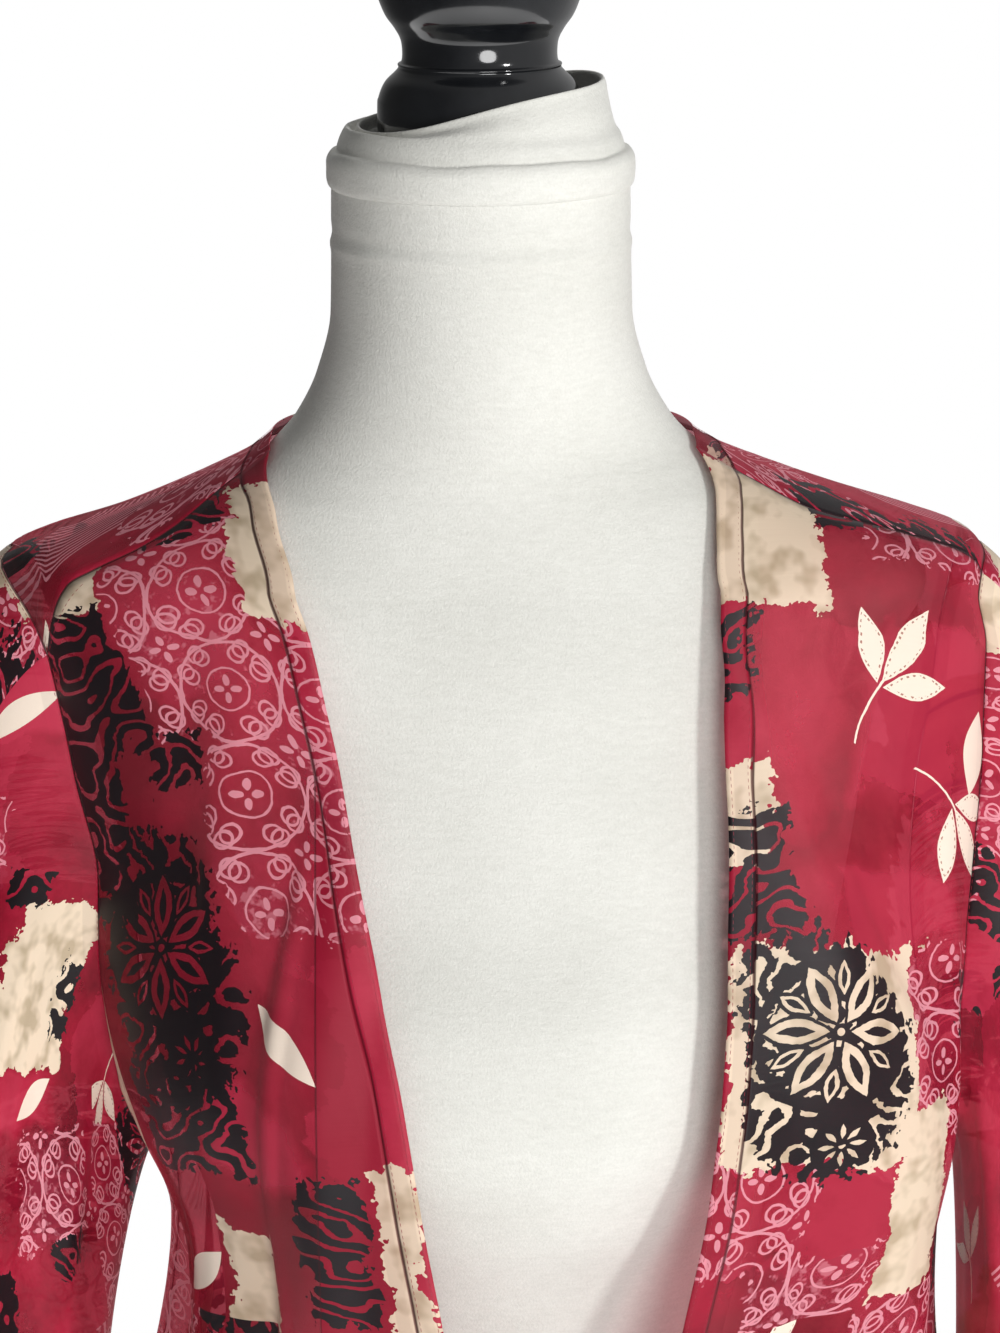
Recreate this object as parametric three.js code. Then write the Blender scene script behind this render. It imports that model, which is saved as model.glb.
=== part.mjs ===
// A sheer open-front kimono cardigan, worn by a limbless dress form on a pole and a round base.
// Millimetres, +Z up. The front faces -Y. Left and right are as seen from the front: left is -X.
// The origin is the centre of the base's underside.
import * as THREE from 'three';

// ---------------------------------------------------------------- driving sizes
const WALL = 1.2;                // thickness of the cloth
const SEAM_INSET = 0.3;          // each sewn edge stops this short of its seam
const HEM_HEIGHT = 660;
const UNDERARM_HEIGHT = 1080;
const CUFF_HEIGHT = 905;
const BAND_WIDTH = 10;           // neck and front band
const NECK_POINT_AZIMUTH = 77;   // where each shoulder seam meets the band

const SHOULDER_COLUMNS = 10;     // grid cells along a shoulder seam
const NECK_COLUMNS = 10;         // grid cells round the back of the neck
const ARMHOLE_ROWS = 11;         // grid cells down the front of an armhole
const BACK_ARMHOLE_ROWS = 11;    // grid cells from the ridge down the back of an armhole
const CAP_ROWS = 3;              // grid cells from a shoulder's ridge forward to its seam
const SIDE_ROWS = 14;            // grid cells down a side seam
const SLEEVE_ROWS = 14;

const FORM_SIDES = 36;
const FORM_FOOT_HEIGHT = 740;
const FORM_TOP_HEIGHT = 1480;
const POLE_RADIUS = 14;
const BASE_RADIUS = 200;
const BASE_HEIGHT = 24;
const SEAT_GAP = 0.3;            // between hard pieces that rest on each other

// Half sizes of the form's level sections. square is the section's roundness: 2 is an ellipse.
const FORM_SECTIONS = [
  { height: 740, left: 164, right: 164, front: 102, back: 114, square: 2.2 },
  { height: 800, left: 170, right: 170, front: 106, back: 122, square: 2.2 },
  { height: 870, left: 162, right: 162, front: 100, back: 116, square: 2.2 },
  { height: 950, left: 128, right: 128, front: 88, back: 94, square: 2.2 },
  { height: 1000, left: 113, right: 113, front: 86, back: 84, square: 2.2 },
  { height: 1050, left: 116, right: 116, front: 100, back: 87, square: 2.25 },
  { height: 1085, left: 125, right: 125, front: 118, back: 92, square: 2.3 },
  { height: 1125, left: 136, right: 136, front: 131, back: 98, square: 2.35 },
  { height: 1165, left: 142, right: 142, front: 124, back: 101, square: 2.3 },
  { height: 1210, left: 149, right: 149, front: 105, back: 103, square: 2.3 },
  { height: 1260, left: 157, right: 157, front: 88, back: 101, square: 2.3 },
  { height: 1300, left: 168, right: 168, front: 77, back: 93, square: 2.3 },
  { height: 1320, left: 178, right: 178, front: 71, back: 85, square: 2.3 },
  { height: 1331, left: 176, right: 176, front: 67, back: 78, square: 2.3 },
  { height: 1340, left: 161, right: 170, front: 64, back: 73, square: 2.2 },
  { height: 1350, left: 138.4, right: 148.5, front: 61, back: 68, square: 2.1 },
  { height: 1360, left: 115.7, right: 122.3, front: 58, back: 64, square: 2.1 },
  { height: 1369, left: 93.4, right: 97.8, front: 56, back: 61, square: 2.1 },
  { height: 1380, left: 81.5, right: 81.5, front: 55, back: 60, square: 2 },
  { height: 1389, left: 74, right: 74, front: 55, back: 58.5, square: 2 },
  { height: 1406, left: 65.5, right: 65.2, front: 56, back: 58.5, square: 2 },
  { height: 1430, left: 59.6, right: 59.4, front: 57, back: 58.5, square: 2 },
  { height: 1480, left: 58.4, right: 58.4, front: 58, back: 58.4, square: 2 },
];

// Half sizes of the cloth's inner face. It rests at the shoulders and hangs clear below the bust.
const CLOTH_SECTIONS = [
  { height: 660, left: 206, right: 218, front: 152, back: 152, square: 2.2 },
  { height: 800, left: 182, right: 198, front: 149, back: 146, square: 2.2 },
  { height: 900, left: 158, right: 191, front: 146, back: 136, square: 2.2 },
  { height: 1000, left: 133, right: 187, front: 143, back: 124, square: 2.25 },
  { height: 1055, left: 131, right: 188, front: 141, back: 117, square: 2.3 },
  { height: 1080, left: 137, right: 191.5, front: 140.5, back: 114, square: 2.35 },
  { height: 1108, left: 149, right: 195.5, front: 140, back: 112, square: 2.4 },
  { height: 1135, left: 158, right: 198.5, front: 138, back: 111, square: 2.4 },
  { height: 1165, left: 163, right: 200, front: 131, back: 111, square: 2.4 },
  { height: 1210, left: 167, right: 202, front: 114, back: 112, square: 2.5 },
  { height: 1260, left: 175, right: 203, front: 97, back: 109, square: 2.6 },
  { height: 1300, left: 184, right: 203, front: 85, back: 101, square: 2.6 },
  { height: 1320, left: 190, right: 200, front: 78, back: 94, square: 2.6 },
  { height: 1331, left: 193, right: 200, front: 74, back: 88, square: 2.5 },
  { height: 1336, left: 184, right: 197, front: 71, back: 85, square: 2.4 },
  { height: 1343, left: 161, right: 180, front: 68, back: 81, square: 2.3 },
  { height: 1353, left: 135.4, right: 148.6, front: 64.5, back: 76, square: 2.2 },
  { height: 1363, left: 112.2, right: 120, front: 61.5, back: 71.5, square: 2.2 },
  { height: 1372, left: 94.2, right: 97.2, front: 59.5, back: 67.5, square: 2.2 },
  { height: 1380, left: 84.5, right: 84.5, front: 58.5, back: 64.5, square: 2.1 },
  { height: 1390, left: 77, right: 77, front: 58, back: 62, square: 2 },
];

// Distance of each front edge from the middle.
const FRONT_EDGES = [
  { height: 660, left: 9, right: 58 },
  { height: 800, left: 7, right: 56 },
  { height: 900, left: 7, right: 58 },
  { height: 1000, left: 9, right: 66 },
  { height: 1064, left: 18.2, right: 77.6 },
  { height: 1092, left: 23, right: 83 },
  { height: 1123, left: 27.6, right: 87 },
  { height: 1148, left: 31.5, right: 89.8 },
  { height: 1190, left: 40, right: 92.3 },
  { height: 1237, left: 48.2, right: 93 },
  { height: 1293, left: 60.4, right: 91.4 },
  { height: 1318, left: 66.6, right: 90.4 },
  { height: 1337, left: 72.6, right: 89.8 },
  { height: 1352, left: 78, right: 89.8 },
  { height: 1362, left: 80.5, right: 90.2 },
];

// The band's two sides round the back of the neck.
const NECKLINE = [
  { azimuth: 77, seam: 1369, edge: 1377.5 },
  { azimuth: 90, seam: 1373.2, edge: 1381.5 },
  { azimuth: 115, seam: 1372.8, edge: 1382 },
  { azimuth: 145, seam: 1370, edge: 1380 },
  { azimuth: 180, seam: 1367.5, edge: 1377.5 },
];

// Azimuths of each armhole's front and back edge, from the shoulder point to the underarm.
const ARMHOLE_FRONT = [
  { height: 1334, left: 90, right: 90 },
  { height: 1329.5, left: 83, right: 84.5 },
  { height: 1317, left: 78, right: 82 },
  { height: 1302, left: 75.5, right: 82 },
  { height: 1277, left: 74, right: 81 },
  { height: 1251, left: 72.5, right: 79.7 },
  { height: 1214, left: 69.5, right: 77 },
  { height: 1181, left: 69.5, right: 75.2 },
  { height: 1140, left: 71.5, right: 75 },
  { height: 1108, left: 77, right: 78 },
  { height: 1088, left: 84, right: 84.5 },
  { height: UNDERARM_HEIGHT, left: 90, right: 90 },
];
const ARMHOLE_BACK = [
  { height: 1334, left: 90, right: 90 },
  { height: 1329.5, left: 97, right: 96.5 },
  { height: 1316, left: 102, right: 101 },
  { height: 1296, left: 105, right: 104 },
  { height: 1265, left: 107, right: 106 },
  { height: 1220, left: 109, right: 107.5 },
  { height: 1175, left: 109.5, right: 107.5 },
  { height: 1135, left: 107, right: 105.5 },
  { height: 1105, left: 102, right: 101 },
  { height: 1087, left: 95.5, right: 95 },
  { height: UNDERARM_HEIGHT, left: 90, right: 90 },
];

// Where each shoulder seam ends on the armhole, and two points that it passes, seen from above.
const SHOULDER_SEAMS = {
  left: { end: 1302, passes: [{ across: 117, forward: 36 }, { across: 143, forward: 45 }] },
  right: { end: 1327, passes: [{ across: 125, forward: 31 }, { across: 160, forward: 29 }] },
};

// Large folds. Azimuth is negative on the left; lean is degrees for each 100 mm down.
const FOLDS = [
  { azimuth: -27, width: 5, depth: 6, top: 1290, bottom: 640, lean: -0.5 },
  { azimuth: -36, width: 6, depth: -5, top: 1180, bottom: 640, lean: -0.6 },
  { azimuth: -64, width: 7, depth: -5, top: 1330, bottom: 1170, lean: 3 },
  { azimuth: -52, width: 9, depth: 9, top: 1130, bottom: 600, lean: 0.5 },
  { azimuth: -68, width: 8, depth: -8, top: 1110, bottom: 600, lean: 1 },
  { azimuth: -84, width: 8, depth: 9, top: 1060, bottom: 600, lean: 0 },
  { azimuth: 58, width: 5, depth: -5, top: 1330, bottom: 1150, lean: 4 },
  { azimuth: 50, width: 6, depth: 5, top: 1270, bottom: 1020, lean: 4 },
  { azimuth: 67, width: 5, depth: 6, top: 1200, bottom: 620, lean: 0 },
  { azimuth: 42, width: 8, depth: -6, top: 1100, bottom: 600, lean: -1 },
  { azimuth: 80, width: 7, depth: -7, top: 1060, bottom: 600, lean: 1 },
  { azimuth: 100, width: 8, depth: 9, top: 1060, bottom: 600, lean: -1 },
  { azimuth: 118, width: 8, depth: -8, top: 1150, bottom: 600, lean: -1 },
  { azimuth: 134, width: 9, depth: 10, top: 1180, bottom: 600, lean: 1 },
  { azimuth: 152, width: 8, depth: -7, top: 1190, bottom: 600, lean: 0 },
  { azimuth: 168, width: 8, depth: 9, top: 1150, bottom: 600, lean: 1 },
  { azimuth: 184, width: 8, depth: -6, top: 1200, bottom: 600, lean: -0.5 },
  { azimuth: 201, width: 9, depth: 9, top: 1170, bottom: 600, lean: -0.5 },
  { azimuth: 219, width: 8, depth: -8, top: 1190, bottom: 600, lean: 0.5 },
  { azimuth: 236, width: 9, depth: 10, top: 1150, bottom: 600, lean: 0 },
  { azimuth: 254, width: 8, depth: -8, top: 1100, bottom: 600, lean: 1 },
];

// A sleeve hangs empty. turn is measured round it from the outside, forward to the body side.
const SLEEVES = {
  left: { across: 217.5, forward: -2, halfWidth: 46.5, halfDepth: 60 },
  right: { across: 247, forward: -2, halfWidth: 43, halfDepth: 60 },
};
const SLEEVE_FOLDS = [
  { turn: 60, width: 26, depth: -6, start: 0.25, end: 1.2 },
  { turn: 118, width: 24, depth: -7, start: 0.15, end: 1.1 },
  { turn: 20, width: 24, depth: 5, start: 0.3, end: 1.2 },
  { turn: 235, width: 28, depth: -7, start: 0.2, end: 1.2 },
  { turn: 300, width: 26, depth: -5, start: 0.3, end: 1.2 },
];

// ---------------------------------------------------------------- small helpers
const lerp = THREE.MathUtils.lerp;
const degrees = THREE.MathUtils.degToRad;

// Values at even shares from 0 to 1.
function spread(count, at) {
  return Array.from({ length: count + 1 }, (_, i) => at(i / count));
}

// A smooth curve through a table's column that never swings past its values.
function smoothColumn(rows, column, key = 'height') {
  const steps = rows.slice(1).map((row, i) => row[key] - rows[i][key]);
  const slopes = rows.slice(1).map((row, i) => (row[column] - rows[i][column]) / steps[i]);
  const tangents = rows.map((row, i) => {
    if (i === 0) return slopes[0];
    if (i === rows.length - 1) return slopes[i - 1];
    if (slopes[i - 1] * slopes[i] <= 0) return 0;
    return (2 * slopes[i - 1] * slopes[i]) / (slopes[i - 1] + slopes[i]);
  });
  return (at) => {
    let i = 0;
    while (i < steps.length - 1 && (at - rows[i + 1][key]) * Math.sign(steps[i]) > 0) i += 1;
    const t = THREE.MathUtils.clamp((at - rows[i][key]) / steps[i], 0, 1);
    const bend = t * t * (3 - 2 * t);
    return lerp(rows[i][column], rows[i + 1][column], bend)
      + steps[i] * t * (1 - t) * ((1 - t) * tangents[i] - t * tangents[i + 1]);
  };
}

function sections(rows) {
  const columns = ['left', 'right', 'front', 'back', 'square'];
  return Object.fromEntries(columns.map((column) => [column, smoothColumn(rows, column)]));
}

// The point of a body of level sections that faces an azimuth: 0 is the front and 90 the right side.
function sectionPoint(body, azimuth, height) {
  const sine = Math.sin(degrees(azimuth));
  const cosine = Math.cos(degrees(azimuth));
  const side = (sine < 0 ? body.left : body.right)(height);
  const depth = (cosine > 0 ? body.front : body.back)(height);
  const square = body.square(height);
  const sum = Math.abs(sine / side) ** square + Math.abs(cosine / depth) ** square;
  const radius = sum ** (-1 / square);
  return new THREE.Vector3(radius * sine, -radius * cosine, height);
}

function meshOf(name, points, triangles, material) {
  const geometry = new THREE.BufferGeometry();
  const positions = new Float32Array(points.flatMap((point) => [point.x, point.y, point.z]));
  geometry.setAttribute('position', new THREE.BufferAttribute(positions, 3));
  geometry.setIndex(triangles.flat());
  geometry.computeVertexNormals();
  const mesh = new THREE.Mesh(geometry, material);
  mesh.name = name;
  return mesh;
}

// A net of cloth: places, and four-sided cells of them that run anticlockwise seen from outside.
// Adds a grid of rows to a net. top names the places of the first row when the net already has them.
function addRows(net, rows, { top, flip = false, round = false } = {}) {
  const ids = rows.map((row, r) => (r === 0 && top ? top : row.map((place) => net.places.push(place) - 1)));
  for (let r = 0; r < rows.length - 1; r += 1) {
    const last = rows[r].length - 1;
    for (let c = 0; c < (round ? last + 1 : last); c += 1) {
      const next = (c + 1) % rows[r].length;
      const cell = [ids[r][c], ids[r + 1][c], ids[r + 1][next], ids[r][next]];
      net.cells.push(flip ? cell.reverse() : cell);
    }
  }
  return ids;
}

// The edges that only one cell has, as pairs of places.
function borderOf({ cells }) {
  const edges = cells.flatMap((cell) => cell.map((id, i) => [id, cell[(i + 1) % 4]]));
  const known = new Set(edges.map(([from, to]) => `${from} ${to}`));
  return edges.filter(([from, to]) => !known.has(`${to} ${from}`));
}

// Draws a net's border in along the cloth, so that sewn pieces lie apart.
function drawIn(net, border, distance) {
  const ways = new Map();
  for (const [from, to] of border) {
    const along = net.places[to].inner.clone().sub(net.places[from].inner);
    for (const id of [from, to]) {
      const way = net.places[id].normal.clone().cross(along).normalize();
      ways.set(id, [...(ways.get(id) ?? []), way]);
    }
  }
  for (const [id, [one, other]] of ways) {
    const move = one.clone().add(other).multiplyScalar(distance / Math.max(1 + one.dot(other), 0.5));
    const { inner, outer, normal } = net.places[id];
    net.places[id] = { inner: inner.clone().add(move), outer: outer.clone().add(move), normal };
  }
}

// The solid wall of a net: its outer and inner faces, and a rim along its border.
function wallOf(name, net, material, { sewn = true } = {}) {
  const border = borderOf(net);
  if (sewn) drawIn(net, border, SEAM_INSET);
  const points = net.places.flatMap(({ inner, outer }) => [inner, outer]);
  const triangles = [];
  const quad = (a, b, c, d) => triangles.push([a, b, c], [a, c, d]);
  for (const [a, b, c, d] of net.cells) {
    quad(2 * a + 1, 2 * b + 1, 2 * c + 1, 2 * d + 1);
    quad(2 * d, 2 * c, 2 * b, 2 * a);
  }
  for (const [from, to] of border) quad(2 * to + 1, 2 * from + 1, 2 * from, 2 * to);
  return meshOf(name, points, triangles, material);
}

// ---------------------------------------------------------------- the hanging cloth
const cloth = sections(CLOTH_SECTIONS);
const form = sections(FORM_SECTIONS);

// A smooth bump that is 1 in the middle and 0 a width away.
function bump(distance, width) {
  const t = Math.abs(distance) / width;
  return t < 1 ? (1 - t * t) ** 2 : 0;
}

function turnBetween(azimuth, other) {
  return THREE.MathUtils.euclideanModulo(azimuth - other + 180, 360) - 180;
}

// How far the folds move the cloth out. Each forms over its first 120 mm and deepens to the hem.
function foldDepth(azimuth, height) {
  let depth = 0;
  for (const fold of FOLDS) {
    const drop = fold.top - height;
    const centre = fold.azimuth + (fold.lean * drop) / 100;
    const grow = THREE.MathUtils.smoothstep(drop, 0, 120) * (1 + Math.max(drop, 0) / 600);
    const fade = THREE.MathUtils.smoothstep(height, fold.bottom, fold.bottom + 60);
    depth += fold.depth * grow * fade * bump(turnBetween(azimuth, centre), 2 * fold.width);
  }
  return depth;
}

// The least distance from the form that folds may bring the cloth to.
const CLEARANCE = 2;

function clothPoint(azimuth, height) {
  const point = sectionPoint(cloth, azimuth, height);
  const radius = Math.hypot(point.x, point.y);
  const body = sectionPoint(form, azimuth, Math.min(height, FORM_TOP_HEIGHT));
  const nearest = Math.min(Math.hypot(body.x, body.y) + CLEARANCE, radius);
  const folded = Math.max(radius + foldDepth(azimuth, height), nearest);
  return point.multiply(new THREE.Vector3(folded / radius, folded / radius, 1));
}

// The cloth's two faces at a place, and the way out of it.
function clothPlace({ azimuth, height }) {
  const inner = clothPoint(azimuth, height);
  const around = clothPoint(azimuth + 0.5, height).sub(clothPoint(azimuth - 0.5, height));
  const down = clothPoint(azimuth, height - 1).sub(clothPoint(azimuth, height + 1));
  const normal = down.cross(around).normalize();
  return { inner, outer: inner.clone().addScaledVector(normal, WALL), normal };
}

// The azimuth at which the front of the cloth is a distance from the middle.
function frontAzimuth(side, across, height) {
  const square = cloth.square(height);
  const share = Math.min(across / cloth[side](height), 1);
  const forward = cloth.front(height) * (1 - share ** square) ** (1 / square);
  return THREE.MathUtils.radToDeg(Math.atan2(across, forward));
}

// How far a point lies from the cloth's inner face: below 0 is inside it.
function outsideCloth(x, y, height) {
  const square = cloth.square(height);
  const side = (x < 0 ? cloth.left : cloth.right)(height);
  const depth = (y < 0 ? cloth.front : cloth.back)(height);
  return Math.abs(x / side) ** square + Math.abs(y / depth) ** square - 1;
}

// The place on the shoulders over a point seen from above: across to a side, and forward.
function shoulderPlace(side, { across, forward }) {
  const x = side === 'left' ? -across : across;
  let low = 1280;
  let high = 1390;
  while (high - low > 0.01) {
    const middle = (low + high) / 2;
    if (outsideCloth(x, -forward, middle) < 0) low = middle;
    else high = middle;
  }
  return { azimuth: THREE.MathUtils.radToDeg(Math.atan2(across, forward)), height: low };
}

// ---------------------------------------------------------------- seams, as places on the cloth
const AZIMUTH_SCALE = 2.8;       // about as many millimetres as a degree is wide

// A smooth path through places. at(0) is its start and at(1) its end, evenly by length.
function path(places) {
  const points = places.map(({ azimuth, height }) => new THREE.Vector3(azimuth * AZIMUTH_SCALE, height, 0));
  const curve = new THREE.CatmullRomCurve3(points, false, 'centripetal');
  return {
    at: (share) => {
      const point = curve.getPointAt(THREE.MathUtils.clamp(share, 0, 1));
      return { azimuth: point.x / AZIMUTH_SCALE, height: point.y };
    },
  };
}

const neckSeam = smoothColumn(NECKLINE, 'seam', 'azimuth');
const neckEdge = smoothColumn(NECKLINE, 'edge', 'azimuth');

// The azimuth of a front's band seam and free edge at any height.
function frontLine(side, column, offset) {
  const rows = FRONT_EDGES.map((row) => ({
    height: row.height,
    azimuth: frontAzimuth(side, row[side] + offset, row.height),
  }));
  rows.push({ height: NECKLINE[0][column], azimuth: NECK_POINT_AZIMUTH });
  return smoothColumn(rows, 'azimuth');
}

const hang = {};
for (const side of ['left', 'right']) {
  const seam = SHOULDER_SEAMS[side];
  const armholeAzimuth = smoothColumn([...ARMHOLE_FRONT].reverse(), side);
  const end = { azimuth: armholeAzimuth(seam.end), height: seam.end };
  const neckPoint = { azimuth: NECK_POINT_AZIMUTH, height: NECKLINE[0].seam };
  const rowPlace = (row) => ({ azimuth: row[side], height: row.height });
  const overShoulder = ARMHOLE_FRONT.filter((row) => row.height > seam.end + 1).map(rowPlace).reverse();
  hang[side] = {
    sign: side === 'left' ? -1 : 1,
    top: seam.end,
    armholeAzimuth,
    seamAzimuth: frontLine(side, 'seam', BAND_WIDTH),
    edgeAzimuth: frontLine(side, 'edge', 0),
    shoulder: path([end, ...seam.passes.map((pass) => shoulderPlace(side, pass)).reverse(), neckPoint]),
    ridge: path([overShoulder.at(-1), { azimuth: 90, height: neckSeam(90) }]),
    capArmhole: path([end, ...overShoulder]),
    backArmhole: path(ARMHOLE_BACK.map(rowPlace)),
  };
}

// Heights of the rows that front, back and band share, from the shoulder seam's end down.
const sideHeights = Array.from({ length: SIDE_ROWS }, (_, i) => (
  lerp(UNDERARM_HEIGHT, HEM_HEIGHT, (i + 1) / SIDE_ROWS)
));

// Shares from 0 to 1 that lie about twice as close at both ends.
function closeAtEnds(share) {
  return lerp(share, (1 - Math.cos(Math.PI * share)) / 2, 0.6);
}

function frontOuterPlaces({ top, armholeAzimuth }) {
  const places = [];
  for (let i = 0; i <= ARMHOLE_ROWS; i += 1) {
    const height = lerp(top, UNDERARM_HEIGHT, closeAtEnds(i / ARMHOLE_ROWS));
    places.push({ azimuth: armholeAzimuth(height), height });
  }
  return [...places, ...sideHeights.map((height) => ({ azimuth: 90, height }))];
}

function backOuterPlaces({ backArmhole }) {
  return [
    ...spread(BACK_ARMHOLE_ROWS, (share) => backArmhole.at(share)),
    ...sideHeights.map((height) => ({ azimuth: 90, height })),
  ];
}

// Heights on the band seam, level with the rows but starting at the neck point.
function bandHeights({ top }) {
  const rise = NECKLINE[0].seam - top;
  return frontOuterPlaces({ top, armholeAzimuth: () => 90 }).map(({ height }) => {
    const share = (top - height) / (top - HEM_HEIGHT);
    return height + rise * (1 - share) ** 2;
  });
}

// Fills a panel between its four borders. The top border's bends fade quickly down the rows.
function fillPanel(topRow, bottomRow, firstColumn, lastColumn) {
  const lastRow = firstColumn.length - 1;
  const lastCell = topRow.length - 1;
  const mix = (a, b, share) => ({
    azimuth: lerp(a.azimuth, b.azimuth, share),
    height: lerp(a.height, b.height, share),
  });
  return firstColumn.map((first, r) => {
    const fade = (1 - r / lastRow) ** 3;
    return topRow.map((topPlace, c) => {
      const share = c / lastCell;
      const sides = mix(first, lastColumn[r], share);
      const ends = mix(bottomRow[c], topPlace, fade);
      const corners = mix(
        mix(bottomRow[0], bottomRow[lastCell], share),
        mix(topRow[0], topRow[lastCell], share),
        fade,
      );
      return {
        azimuth: sides.azimuth + ends.azimuth - corners.azimuth,
        height: sides.height + ends.height - corners.height,
      };
    });
  });
}

function mirrored(side, places) {
  return places.map(({ azimuth, height }) => ({ azimuth: hang[side].sign * azimuth, height }));
}

// ---------------------------------------------------------------- panels
const sheerCrimson = new THREE.MeshStandardMaterial({ color: 0xb0304a, roughness: 0.55, metalness: 0 });
const sheerBand = new THREE.MeshStandardMaterial({ color: 0x6e1224, roughness: 0.5, metalness: 0 });

function frontPlaces(side) {
  const part = hang[side];
  const outer = frontOuterPlaces(part);
  const band = bandHeights(part).map((height) => ({ azimuth: part.seamAzimuth(height), height }));
  const topRow = spread(SHOULDER_COLUMNS, (share) => part.shoulder.at(share));
  const bottomRow = spread(SHOULDER_COLUMNS, (share) => ({
    azimuth: lerp(90, band.at(-1).azimuth, share),
    height: HEM_HEIGHT,
  }));
  return fillPanel(topRow, bottomRow, outer, band);
}

function frontPanel(side) {
  const net = { places: [], cells: [] };
  const rows = frontPlaces(side).map((row) => mirrored(side, row).map(clothPlace));
  addRows(net, rows, { flip: side === 'right' });
  return wallOf(`front_${side}`, net, sheerCrimson);
}

// Back places run from azimuth 90 round to 270, so those of the left side are turned about.
function turnedAbout({ azimuth, height }) {
  return { azimuth: 360 - azimuth, height };
}

function backPlaces() {
  const { left, right } = hang;
  const neckRow = spread(NECK_COLUMNS, (share) => {
    const azimuth = lerp(90, 270, share);
    return { azimuth, height: neckSeam(Math.min(azimuth, 360 - azimuth)) };
  });
  const rightRow = spread(SHOULDER_COLUMNS, (share) => right.ridge.at(share));
  const leftRow = spread(SHOULDER_COLUMNS, (share) => left.ridge.at(1 - share)).map(turnedAbout);
  const topRow = [...rightRow, ...neckRow.slice(1, -1), ...leftRow];
  const bottomRow = spread(topRow.length - 1, (share) => (
    { azimuth: lerp(90, 270, share), height: HEM_HEIGHT }));
  return fillPanel(topRow, bottomRow, backOuterPlaces(right), backOuterPlaces(left).map(turnedAbout));
}

// The strip of the back that comes over a shoulder's ridge to the seam: its first row is the ridge.
function capPlaces(side) {
  const { ridge, shoulder, capArmhole } = hang[side];
  const plan = ({ azimuth, height }) => sectionPoint(cloth, hang[side].sign * azimuth, height);
  return spread(CAP_ROWS, (share) => spread(SHOULDER_COLUMNS, (along) => {
    if (along === 0) return capArmhole.at(1 - share);
    const azimuth = lerp(90, NECK_POINT_AZIMUTH, share);
    if (along === 1) return { azimuth, height: neckSeam(azimuth) };
    if (share === 0) return ridge.at(along);
    if (share === 1) return shoulder.at(along);
    const point = plan(ridge.at(along)).lerp(plan(shoulder.at(along)), share);
    return shoulderPlace(side, { across: Math.abs(point.x), forward: -point.y });
  }));
}

function backPanel() {
  const net = { places: [], cells: [] };
  const ids = addRows(net, backPlaces().map((row) => row.map(clothPlace)));
  for (const side of ['left', 'right']) {
    const rows = capPlaces(side).map((row) => mirrored(side, row).map(clothPlace));
    const top = side === 'right'
      ? ids[0].slice(0, SHOULDER_COLUMNS + 1)
      : ids[0].slice(-SHOULDER_COLUMNS - 1).reverse();
    addRows(net, rows, { top, flip: side === 'right' });
  }
  return wallOf('back', net, sheerCrimson);
}

// ---------------------------------------------------------------- neck and front band
function frontBand(side) {
  const part = hang[side];
  const drop = NECKLINE[0].edge - NECKLINE[0].seam;
  const heights = bandHeights(part);
  const net = { places: [], cells: [] };
  const rows = heights.map((height, i) => {
    const edgeHeight = height + drop * (1 - i / (heights.length - 1)) ** 12;
    const seam = { azimuth: part.seamAzimuth(height), height };
    const edge = { azimuth: part.edgeAzimuth(edgeHeight), height: edgeHeight };
    return mirrored(side, [seam, edge]).map(clothPlace);
  });
  addRows(net, rows, { flip: side === 'right' });
  return wallOf(`band_${side}`, net, sheerBand);
}

function backBand() {
  const toRidge = spread(CAP_ROWS, (share) => lerp(NECK_POINT_AZIMUTH, 90, share));
  const azimuths = [
    ...toRidge,
    ...spread(NECK_COLUMNS, (share) => lerp(90, 270, share)).slice(1, -1),
    ...toRidge.map((azimuth) => 360 - azimuth).reverse(),
  ];
  const net = { places: [], cells: [] };
  addRows(net, [neckEdge, neckSeam].map((heightAt) => azimuths.map((azimuth) => (
    clothPlace({ azimuth, height: heightAt(Math.min(azimuth, 360 - azimuth)) })))));
  return wallOf('band_back', net, sheerBand);
}

// ---------------------------------------------------------------- sleeves
// The armhole, from the shoulder seam down the front to the underarm and up the back. Each point has
// the cloth's normal there, and the way along the cloth into the hole.
function armholeLoop(side) {
  const front = frontOuterPlaces(hang[side]).slice(0, ARMHOLE_ROWS + 1);
  const back = backOuterPlaces(hang[side]).slice(1, BACK_ARMHOLE_ROWS).reverse();
  const cap = spread(CAP_ROWS, (share) => hang[side].capArmhole.at(1 - share)).slice(0, -1);
  const places = mirrored(side, [...front, ...back, ...cap]).map(clothPlace);
  const middle = places.reduce((sum, place) => sum.add(place.inner), new THREE.Vector3())
    .divideScalar(places.length);
  return places.map((place, i) => {
    const before = places[(i + places.length - 1) % places.length].inner;
    const after = places[(i + 1) % places.length].inner;
    const into = place.normal.clone().cross(after.clone().sub(before)).normalize();
    if (into.dot(middle.clone().sub(place.inner)) < 0) into.negate();
    return { ...place, into };
  });
}

// How far round the sleeve each point of the armhole leads: 0 is the outside, 180 the body side.
function loopTurns(loop) {
  const lengths = loop.map((place, i) => place.inner.distanceTo(loop[(i + 1) % loop.length].inner));
  const total = lengths.reduce((sum, length) => sum + length, 0);
  let run = 0;
  const turns = lengths.map((length) => {
    const turn = (360 * run) / total;
    run += length;
    return turn;
  });
  const heights = loop.map((place) => place.inner.z);
  const topTurn = turns[heights.indexOf(Math.max(...heights))];
  const underTurn = turns[ARMHOLE_ROWS];
  const front = THREE.MathUtils.euclideanModulo(underTurn - topTurn, 360);
  return turns.map((turn) => {
    const past = THREE.MathUtils.euclideanModulo(turn - topTurn, 360);
    return past <= front ? (180 * past) / front : 180 + (180 * (past - front)) / (360 - front);
  });
}

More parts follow.
